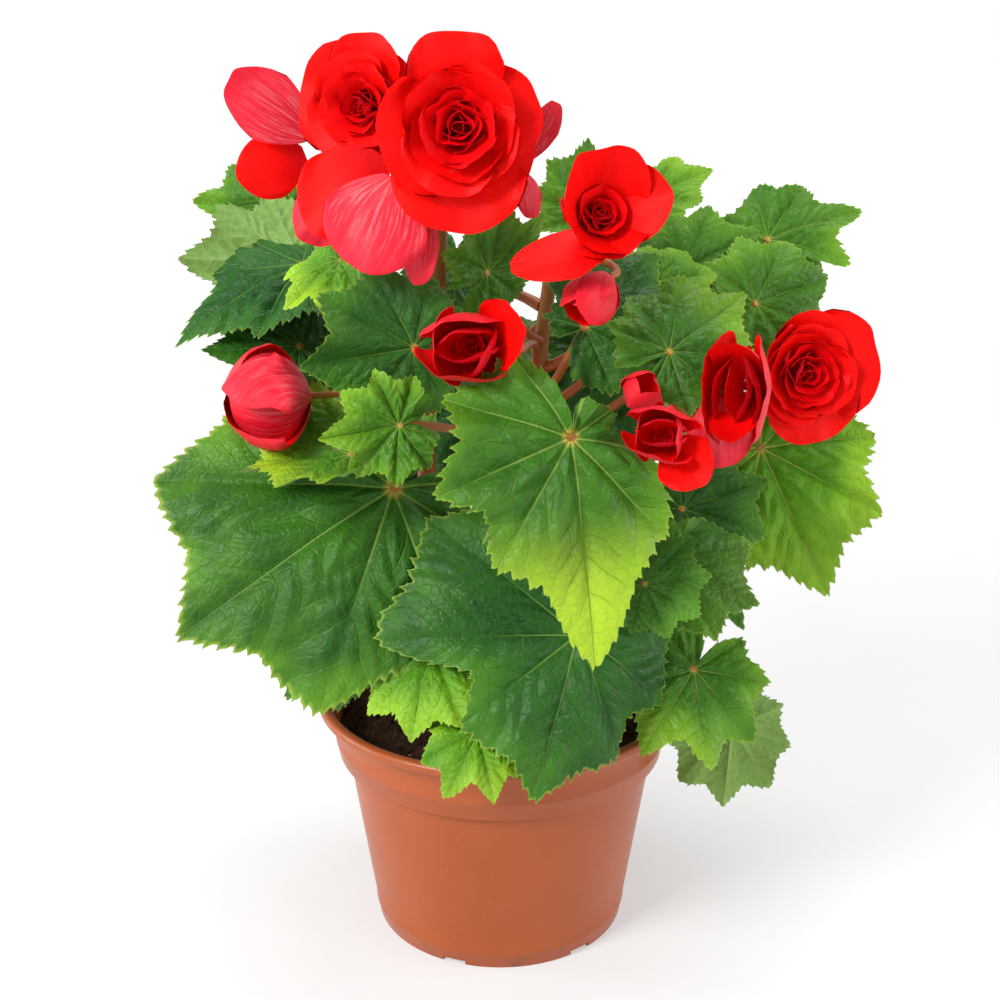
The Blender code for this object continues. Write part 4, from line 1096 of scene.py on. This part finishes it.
# Open petals by flower: (turn, length, width, lean at the base, lean at the tip, cup, out, forward).
OUTER = {
    "rose_top": (
        (-6, 29.5, 31, 62, 92, 14, 2.5, -2), (72, 24, 31, 62, 96, 8, 2.5, -3),
        (130, 24, 30, 62, 92, 8, 2.5, -3),
        (182, 31, 44, 64, 92, 12, 2.5, -2), (255, 25, 38, 56, 84, 20, 2.5, 0),
        (200, 22, 32, 50, 76, 24, 2, 1), (128, 20, 28, 50, 72, 24, 2, 1), (318, 19, 28, 52, 68, 24, 2, 1),
        (30, 20, 28, 48, 72, 24, 2, 1),
    ),
    "rose_left": (
        (2, 23, 26, 60, 86, 14, 2, -1), (60, 19, 26, 60, 92, 10, 2, -2), (283, 23.5, 36, 58, 88, 14, 2, -2),
        (225, 20, 30, 56, 80, 18, 2, 0), (170, 20, 28, 60, 84, 14, 2, -1), (330, 18, 26, 48, 72, 22, 2, 0),
        (250, 15, 20, 42, 66, 26, 2, 1),
    ),
    "rose_right": (
        (75, 28, 40, 46, 84, 20, 2, -1), (20, 23, 32, 46, 78, 20, 2, -1), (165, 26, 34, 50, 84, 18, 2, -1),
        (270, 18, 36, 40, 62, 26, 2, 0), (215, 21, 28, 46, 72, 22, 2, 0), (110, 20, 26, 40, 62, 28, 2, 1),
        (330, 17, 26, 38, 60, 28, 2, 1),
    ),
}

# Half-open flowers by name: their outer petals, as above, and the radius of their packed middle,
# then how pale the backs are, the way the petals face, and how far they stand off the plain base.
CUPS = {
    "bloom_upper_right": ((
        (325, 28, 28, 32, 32, 34, 2, 0), (15, 27, 28, 30, 38, 34, 2, 0), (80, 26, 26, 36, 52, 28, 2, 0),
        (145, 19, 30, 42, 48, 28, 2, 0), (220, 20, 29, 38, 40, 34, 2, 0), (275, 22, 27, 36, 36, 34, 2, 0),
    ), 14.5, 0.1, -76, 22, (1, -1, 1.5)),
    "bloom_side": ((
        (5, 20, 20, 46, -20, 46, 1, 0), (182, 20, 20, 46, -24, 46, 1, 0), (65, 24, 18, 44, -6, 44, 1, 0),
        (245, 20, 17, 42, -20, 46, 1, 0), (335, 22, 17, 44, -16, 44, 1, 0),
    ), 0, 0.2, -136, -36, (0, 0, 0)),
    "bloom_centre": ((
        (350, 25, 32, 50, -24, 44, 2, 0), (190, 25, 34, 54, -14, 44, 2, 0), (70, 31, 24, 46, 34, 36, 2, -1),
        (262, 23, 28, 46, -14, 48, 2, 0), (120, 22, 22, 44, -6, 46, 2, 0), (340, 20, 24, 30, -16, 46, 1, 1),
        (175, 20, 24, 30, -10, 46, 1, 1),
    ), 8.5, 0.05, -104, 12, (-2, -1, 2)),
    "bud_left": ((
        (15, 41, 50, 70, -58, 44, 1, 0), (195, 40, 50, 68, -54, 44, 1, 0), (105, 37, 42, 62, -54, 48, 1, 0),
        (285, 37, 42, 62, -54, 48, 1, 0),
    ), 0, 0.7, -158, 2, (0.5, 0, 0)),
    "bud_red": ((
        (0, 15, 14, 64, -40, 48, 1, 0), (90, 14, 13, 60, -40, 48, 1, 0), (180, 15, 14, 62, -42, 48, 1, 0),
        (270, 14, 13, 60, -38, 48, 1, 0),
    ), 0, 0.1, -70, 38, (0, 0, 0)),
    "bloom_right_small": ((
        (5, 19, 26, 56, -24, 40, 1.5, 0), (195, 18, 26, 56, -10, 40, 1.5, 0),
        (135, 20, 20, 70, 70, 20, 1.5, -1),
        (280, 17, 22, 48, -14, 46, 1.5, 0), (80, 16, 20, 46, -10, 46, 1.5, 0),
        (350, 15, 18, 30, -16, 46, 1, 1),
        (180, 14, 18, 30, -6, 46, 1, 1),
    ), 6.0, 0.3, -108, 22, (0, 0, 0)),
    "bloom_right_half": ((
        (272, 23, 38, 52, -2, 32, 1.5, 0), (88, 23, 38, 50, -4, 32, 1.5, 0), (355, 31, 18, 40, 16, 40, 2, 0),
        (182, 27, 18, 44, 14, 40, 2, 0), (285, 19, 30, 36, -2, 36, 1.5, 0), (75, 19, 30, 34, -4, 36, 1.5, 0),
        (265, 16, 24, 24, -6, 36, 1, 1), (95, 16, 24, 22, -6, 36, 1, 1),
    ), 0, 0.6, -112, 6, (0, 0, 0)),
}


def make_flowers(materials):
    seed = FIRST_FLOWER_SEED
    for flower in FLOWERS:
        outer = [OpenPetal(*row) for row in OUTER[flower.name]]
        made = petals_object(
            flower.name + "_petals", flower, outer, materials, seed, 1.0, [0.0] * len(outer), 0.3,
            0.16 * flower.radius,
        )
        finish_piece(made, "petal", *(f"{flower.name}_petal_{name}" for name, _, _ in flower.petals))
        petals, depths = heart_petals(flower.radius, np.random.RandomState(seed))
        made = petals_object(
            flower.name + "_middle", flower, petals, materials, seed + 3, 1.4, depths, 0.1, 0
        )
        finish_piece(made, "petal", flower.name + "_heart")
        seed += SEED_STEP
    for bloom in BLOOMS + MORE_BLOOMS:
        rows, middle, pale, azimuth, elevation, shift = CUPS[bloom.name]
        at = tuple(np.add(bloom.at, shift))
        shown = bloom._replace(at=at, azimuth=azimuth, elevation=elevation)
        petals, depths = [OpenPetal(*row) for row in rows], [0.05] * len(rows)
        if middle:
            inner, inner_depths = heart_petals(middle * 1.35, np.random.RandomState(seed))
            petals += inner[OUTER_WHORL:]
            depths += inner_depths[OUTER_WHORL:]
        made = petals_object(
            bloom.name + "_petals", shown, petals, materials, seed, 0.8, depths, pale, 0.10 * bloom.radius
        )
        finish_piece(made, "petal", *([bloom.name] if bloom in BLOOMS else []))
        seed += SEED_STEP
    for petal in PETALS + MORE_PETALS:
        made = free_petal(petal, materials, np.random.RandomState(seed))
        finish_piece(made, "petal", *([petal.name] if petal in PETALS else []))
        seed += SEED_STEP


def free_petal(petal, materials, rng):
    """A single petal. Its upper side is its back, with pale streaks, unless it is one of RED_PETALS."""
    place = frame_of(petal.at, petal.azimuth, petal.elevation, petal.roll)
    sheet = OpenPetal(0, petal.length, petal.width, 90, 78, 14, 0, 0)
    side, out, forward, _, u, v, rim = petal_sheet(sheet, rng, 1.0, 22, 18)
    upper = placed(np.stack([out, side, -forward], -1).reshape(-1, 3), place)
    thick = FREE_PETAL_THICKNESS * (1 - rim.ravel() ** 4)
    lower = upper - np.array(place)[:3, 2] * thick[:, None]
    triangles, lower_index = sheet_faces(*side.shape, flipped=True)
    faces = triangles.tolist() + lower_index[triangles[:, ::-1]].tolist()
    above, below = (0, 1) if petal.name in RED_PETALS else (1, 0)
    uvs = np.concatenate([petal_uv(u, v)] * 2)
    tints = np.concatenate([tint_of(side.size, rim.ravel(), 0.0, 1.0)] * 2)
    return new_object(
        petal.name + "_sheet", np.concatenate([upper, lower]), faces, materials,
        [above] * len(triangles) + [below] * len(triangles), {"petal": uvs}, tints,
    )


# Pot, compost and stems ----------------------------------------------------------------------


def turned(profile, segments):
    """(points, faces) of a closed solid whose profile of (radius, height) starts and ends on the axis."""
    inner = profile[1:-1]
    count = len(inner)
    points = [
        (radius * math.cos(turn), radius * math.sin(turn), height)
        for turn in (math.tau * i / segments for i in range(segments))
        for radius, height in inner
    ]
    faces = [
        (i * count + j, ((i + 1) % segments) * count + j,
         ((i + 1) % segments) * count + j + 1, i * count + j + 1)
        for i in range(segments)
        for j in range(count - 1)
    ]
    low, high = len(points), len(points) + 1
    points += [(0, 0, profile[0][1]), (0, 0, profile[-1][1])]
    for i in range(segments):
        after = (i + 1) % segments
        faces.append((low, after * count, i * count))
        faces.append((high, i * count + count - 1, after * count + count - 1))
    return points, faces


def rounded(centre, radius, start, end, steps):
    """Points on an arc in the profile's plane, from one angle to another."""
    return [
        (centre[0] + radius * math.cos(math.radians(start + (end - start) * i / steps)),
         centre[1] + radius * math.sin(math.radians(start + (end - start) * i / steps)))
        for i in range(steps + 1)
    ]


# The pot's inside as (radius, height), from the band down to the floor.
INNER_WALL = (
    (BAND_LOW_RADIUS - WALL, BAND_LOW_Z + 1.0),
    (SHOULDER_RADIUS - WALL - 0.5, BAND_LOW_Z - 4.0),
    (BASE_RADIUS - WALL + 0.4, FLOOR_TOP),
)


def make_pot(finish):
    rim_low = POT_HEIGHT - RIM_DEPTH
    slope = (BAND_TOP_RADIUS - BAND_LOW_RADIUS) / (rim_low - BAND_LOW_Z)
    line_z = BAND_LOW_Z + MOULDING_LINE
    line_r = BAND_LOW_RADIUS + slope * (line_z - BAND_LOW_Z)
    wall = (SHOULDER_RADIUS - BASE_RADIUS) / (BAND_LOW_Z - 1.5)
    profile = [
        (0, 0.0), (CENTRE_PAD_RADIUS, 0.0), (CENTRE_PAD_RADIUS + 1.0, FOOT_HEIGHT),
        (FOOT_RADIUS, FOOT_HEIGHT), (FOOT_RADIUS + 0.4, 0.3), (FOOT_RADIUS + 0.8, 0.0),
        (BASE_RADIUS - 0.9, 0.0), (BASE_RADIUS - 0.25, 0.2), (BASE_RADIUS, 0.8),
        (BASE_RADIUS + 4.6 * wall, 5.2), (BASE_RADIUS + 4.9 * wall + 0.25, 5.7),
        (BASE_RADIUS + 5.4 * wall + 0.25, 6.2), (BASE_RADIUS + 5.8 * wall, 6.8),
        (BASE_RADIUS + 20 * wall, 21.0), (BASE_RADIUS + 40 * wall, 41.0), (BASE_RADIUS + 60 * wall, 61.0),
        (SHOULDER_RADIUS, BAND_LOW_Z - 0.9), (SHOULDER_RADIUS + 0.6, BAND_LOW_Z - 0.45),
        (BAND_LOW_RADIUS - 1.0, BAND_LOW_Z - 0.3), (BAND_LOW_RADIUS - 0.3, BAND_LOW_Z - 0.05),
        (BAND_LOW_RADIUS, BAND_LOW_Z + 0.7),
        (line_r - 0.05, line_z - 0.6), (line_r + 0.28, line_z - 0.2), (line_r + 0.30, line_z + 0.3),
        (line_r + 0.05, line_z + 0.7),
        (BAND_TOP_RADIUS, rim_low - 1.0), (BAND_TOP_RADIUS + 0.5, rim_low - 0.35),
        (RIM_RADIUS - 2.0, rim_low),
    ]
    profile += rounded((RIM_RADIUS - 1.6, rim_low + 1.7), 1.6, -70, 0, 4)
    profile += rounded((RIM_RADIUS - 1.7, POT_HEIGHT - 1.7), 1.7, 0, 90, 5)
    profile += [(RIM_INNER_RADIUS + 1.0, POT_HEIGHT - 0.15)]
    profile += rounded((RIM_INNER_RADIUS + 1.0, POT_HEIGHT - 1.2), 1.0, 100, 180, 4)
    profile += [(BAND_TOP_RADIUS - WALL, rim_low - 1.0), *INNER_WALL, (0, FLOOR_TOP)]
    pot = new_object("pot_shell", *turned(profile, POT_SEGMENTS), [finish])
    face_out(pot)
    for number in range(DRAIN_HOLES):
        turn = math.tau * (number + DRAIN_TURN) / DRAIN_HOLES
        centre = Vector((math.cos(turn), math.sin(turn), 0)) * DRAIN_CIRCLE
        path = [centre + Vector((0, 0, FOOT_HEIGHT - 2)), centre + Vector((0, 0, FLOOR_TOP + 2))]
        points, faces, _, _ = tube(path, (DRAIN_RADIUS,) * 2, DRAIN_SIDES)
        cut(pot, f"drain_{number}", points, faces)
    for number in range(FOOT_NOTCHES):
        turn = math.tau * number / FOOT_NOTCHES + math.radians(FOOT_NOTCH_TURN)
        outward = Vector((math.cos(turn), math.sin(turn), 0))
        sideways = Vector((-outward.y, outward.x, 0)) * FOOT_NOTCH_WIDTH / 2
        corners = [
            outward * radius + sideways * side + Vector((0, 0, height))
            for radius in (FOOT_RADIUS - 2, BASE_RADIUS + 2)
            for side in (-1, 1)
            for height in (-1, FOOT_NOTCH_HEIGHT)
        ]
        box = ((0, 1, 3, 2), (4, 6, 7, 5), (0, 4, 5, 1), (2, 3, 7, 6), (0, 2, 6, 4), (1, 5, 7, 3))
        cut(pot, f"notch_{number}", corners, box)
    pot.data.shade_smooth()
    pot.data.set_sharp_from_angle(angle=math.radians(POT_SHARP_ANGLE))
    finish_piece(pot, "terracotta", "pot")


def cut(target, name, points, faces):
    """Takes a closed shape out of target and leaves no helper behind."""
    cutter = new_object(name, points, faces, [target.data.materials[0]], smooth=False)
    face_out(cutter)
    modifier = target.modifiers.new(name, "BOOLEAN")
    modifier.operation = "DIFFERENCE"
    modifier.solver = "EXACT"
    modifier.object = cutter
    graph = bpy.context.evaluated_depsgraph_get()
    result = bpy.data.meshes.new_from_object(target.evaluated_get(graph))
    target.modifiers.clear()
    target.data = result
    bpy.data.objects.remove(cutter)


def soil_height(x, y, phase):
    """Height of the compost's surface over the level it is filled to."""
    bumps = 0.0
    for number, (wide, tall, share) in enumerate(SOIL_BUMPS):
        start_x, start_y = phase[2 * number : 2 * number + 2]
        bumps += math.sin(x * wide + start_x) * math.sin(y * tall + start_y) * share
    return SOIL_MOUND * (1 - (math.hypot(x, y) / SOIL_EDGE) ** 2) * 0.9 + bumps * 0.8 - 0.4


def ring_of(radius, height, shift):
    """Points round the pot's axis, turned by a share of their spacing."""
    turns = [math.tau * (i + shift) / SOIL_SEGMENTS for i in range(SOIL_SEGMENTS)]
    return [(radius * math.cos(turn), radius * math.sin(turn), height) for turn in turns]


def make_soil(surface, crumb_dark, crumb_light):
    rng = np.random.RandomState(5)
    phase = rng.uniform(0, 6.28, 6)
    points = [(0, 0, SOIL_TOP + soil_height(0.0, 0.0, phase))]
    for ring in range(1, SOIL_RINGS + 1):
        for x, y, _ in ring_of(SOIL_EDGE * ring / SOIL_RINGS, 0.0, 0.5 * (ring % 2)):
            lift = soil_height(x, y, phase) + rng.uniform(-0.35, 0.35)
            points.append((x, y, SOIL_TOP + min(lift, SOIL_MOUND - SOIL_TOP_GAP)))
    faces = [(0, 1 + i, 1 + (i + 1) % SOIL_SEGMENTS) for i in range(SOIL_SEGMENTS)]
    for radius, height in INNER_WALL:
        lift = GAP if height == FLOOR_TOP else 0.0
        points += ring_of(radius - GAP, height + lift, 0.5 * (SOIL_RINGS % 2))
    for a in range(1, len(points) - SOIL_SEGMENTS, SOIL_SEGMENTS):
        for i in range(SOIL_SEGMENTS):
            j = (i + 1) % SOIL_SEGMENTS
            faces.append((a + i, a + SOIL_SEGMENTS + i, a + SOIL_SEGMENTS + j, a + j))
    faces.append(tuple(reversed(range(len(points) - SOIL_SEGMENTS, len(points)))))
    soil = new_object("compost_bed", points, faces, [surface])
    face_out(soil)
    finish_piece(soil, "compost", "soil")
    for name, finish, count, low, high in (
        ("compost_crumbs", crumb_dark, 1500, 0.5, 1.7), ("compost_chips", crumb_light, 130, 0.5, 1.5),
    ):
        points, faces = [], []
        for _ in range(count):
            radius = SOIL_EDGE * 0.965 * math.sqrt(rng.uniform(0, 1))
            turn = rng.uniform(0, math.tau)
            size = rng.uniform(low, high)
            x, y = radius * math.cos(turn), radius * math.sin(turn)
            z = SOIL_TOP + min(soil_height(x, y, phase), SOIL_MOUND - size) + size * 0.25
            stretch = rng.uniform(0.5, 1.5, 3) * size
            spin_by = rng.uniform(0, 6)
            axis = Vector(rng.uniform(-1, 1, 3)).normalized()
            spin = np.array(Matrix.Rotation(spin_by, 3, axis))
            start = len(points)
            for corner in CRUMB_POINTS:
                local = np.array(corner) * rng.uniform(0.75, 1.15) * stretch * 0.6
                points.append(tuple(spin @ local + np.array((x, y, z))))
            faces += [tuple(start + i for i in face) for face in CRUMB_FACES]
        made = new_object(name, points, faces, [finish], smooth=False)
        face_out(made)
        finish_piece(made, "compost")


def flower_named(name):
    flowers = FLOWERS + PETALS + BLOOMS + MORE_PETALS + MORE_BLOOMS
    return next(flower for flower in flowers if flower.name == name)


def facing_of(flower):
    return frame_of((0, 0, 0), flower.azimuth, flower.elevation, 0).to_3x3() @ Vector((1, 0, 0))


def stalk_path(stem, leaves, flower, steps):
    """Up from the stem, or off another stalk, and round to the back of the flower."""
    facing = facing_of(flower)
    end = Vector(flower.at) - facing * GAP * 1.8
    if isinstance(leaves, str):
        height = next(height for _, height, carried in STALKS + MORE_STALKS if carried == leaves)
        start = stalk_path(stem, height, flower_named(leaves), BRANCH_STEPS)[-3]
        span = (end - start).length
        first, handle = start.lerp(end, 0.3), 0.28
    else:
        start, _ = stem_point(stem, leaves)
        span = (end - start).length
        first, handle = start + Vector((0, 0, 0.45)) * span, 0.35
    return curve(start, first, end - facing * span * handle, end, steps)


def make_stems(finish):
    for stem in STEMS:
        path = smooth_path(stem.path, FINE_STEM_STEPS)
        count = len(path)
        radii = []
        for i in range(count):
            share = i / (count - 1)
            swelling = 0.10 * max(0.0, math.cos(share * math.tau * 4)) ** 8
            radii.append((stem.radii[0] + (stem.radii[1] - stem.radii[0]) * share) * (0.97 + swelling))
        points, faces, along, around = tube(path, radii, 18)
        span = [t * 22 for t in along]
        green = [0.10 + 0.25 * t for t in along]
        for name, leaves, carried in STALKS + MORE_STALKS:
            if name != stem.name:
                continue
            line = stalk_path(stem, leaves, flower_named(carried), STALK_STEPS)
            wide = [
                STALK_RADIUS * (1.05 - 0.25 * i / STALK_STEPS + 0.5 * math.exp(-i * 0.7))
                for i in range(STALK_STEPS + 1)
            ]
            more, sides, far, about = tube(line, wide, 12, start=len(points))
            points += more
            faces += sides
            span += [t * 6 for t in far]
            around += about
            green += [0.05 + 0.2 * t for t in far]
        made = new_object(
            stem.name + "_stalks", points, faces, [finish],
            uvs={"stem": np.stack([around, span], 1)}, tint=tint_of(len(points), green=green),
        )
        face_out(made)
        finish_piece(made, "stem", stem.name)


# Stage ---------------------------------------------------------------------------------------


def make_stage():
    n = Nodes("studio_floor")
    floor_finish = n.surface((0.42, 0.42, 0.42), 0.9, Specular_IOR_Level=0.1)
    # The floor glows more the farther it lies, where the lamps no longer reach it.
    distance = n.node("ShaderNodeVectorMath", operation="LENGTH")
    n.put(distance.inputs[0], n.place())
    n.put(n.shader.inputs["Emission Strength"], n.ramp(distance.outputs["Value"], 0.35, 2.2, 0.42, 0.84))
    n.shader.inputs["Emission Color"].default_value = WHITE
    floor = new_object("floor", [(-4000, -3000, 0), (4000, -3000, 0), (4000, 9000, 0), (-4000, 9000, 0)],
                       [(0, 1, 2, 3)], [floor_finish], smooth=False)
    world = bpy.data.worlds.new("studio")
    world.use_nodes = True
    tree = world.node_tree
    # Bright at the horizon, dimmer overhead, so that the lamps shape the leaves.
    aim = tree.nodes.new("ShaderNodeTexCoord")
    parts = tree.nodes.new("ShaderNodeSeparateXYZ")
    fall = tree.nodes.new("ShaderNodeMapRange")
    tree.links.new(aim.outputs["Generated"], parts.inputs[0])
    tree.links.new(parts.outputs[2], fall.inputs["Value"])
    for socket, value in zip(fall.inputs[1:5], (0.08, 0.55, 1.0, 0.35)):
        socket.default_value = value
    tree.links.new(fall.outputs[0], tree.nodes["Background"].inputs["Strength"])
    tree.nodes["Background"].inputs["Color"].default_value = WHITE
    bpy.context.scene.world = world
    target = Vector(LAMP_TARGET)
    for name, place, size, power in (
        ("softbox_left", (-0.95, -0.95, 1.05), 0.55, 27.0),
        ("softbox_right", (1.4, -0.8, 0.7), 0.8, 8.0),
        ("softbox_top", (0.1, 0.35, 1.5), 0.9, 13.0),
        ("strip_left", (-1.25, 0.05, 0.35), 0.5, 6.0),
        ("strip_right", (1.25, 0.05, 0.35), 0.5, 5.0),
    ):
        lamp = bpy.data.lights.new(name, "AREA")
        lamp.shape = "SQUARE"
        lamp.size = size
        lamp.energy = power
        made = bpy.data.objects.new(name, lamp)
        made.location = place
        made.rotation_euler = (target - Vector(place)).to_track_quat("-Z", "Y").to_euler()
        bpy.context.scene.collection.objects.link(made)
    data = bpy.data.cameras.new("camera")
    data.lens = LENS
    data.sensor_width = SENSOR_WIDTH
    camera = bpy.data.objects.new("camera", data)
    pitch = math.radians(CAMERA_PITCH)
    camera.location = (0, -CAMERA_DISTANCE * math.cos(pitch) * MM,
                       (TARGET_HEIGHT + CAMERA_DISTANCE * math.sin(pitch)) * MM)
    camera.rotation_euler = (math.radians(90) - pitch, 0, 0)
    bpy.context.scene.collection.objects.link(camera)
    bpy.context.scene.camera = camera
    bpy.context.scene.view_settings.view_transform = "Standard"


def build():
    make_stage()
    make_pot(pot_material())
    make_soil(
        compost_material("compost_dark", *COMPOST_TONES),
        compost_material("compost_crumb", *COMPOST_TONES),
        compost_material("compost_chip", *CHIP_TONES),
    )
    stem_finish = stem_material("stem_skin")
    make_stems(stem_finish)
    stems = {stem.name: stem for stem in STEMS}
    top, under = leaf_material("leaf_upper", False), leaf_material("leaf_under", True)
    for number, leaf in enumerate(LEAVES + SHADE_LEAVES):
        make_leaf(leaf, top, under, FIRST_LEAF_SEED + number)
        make_petiole(leaf, stems, stem_finish)
    make_flowers([petal_material("petal_face", False), petal_material("petal_back", True)])


build()
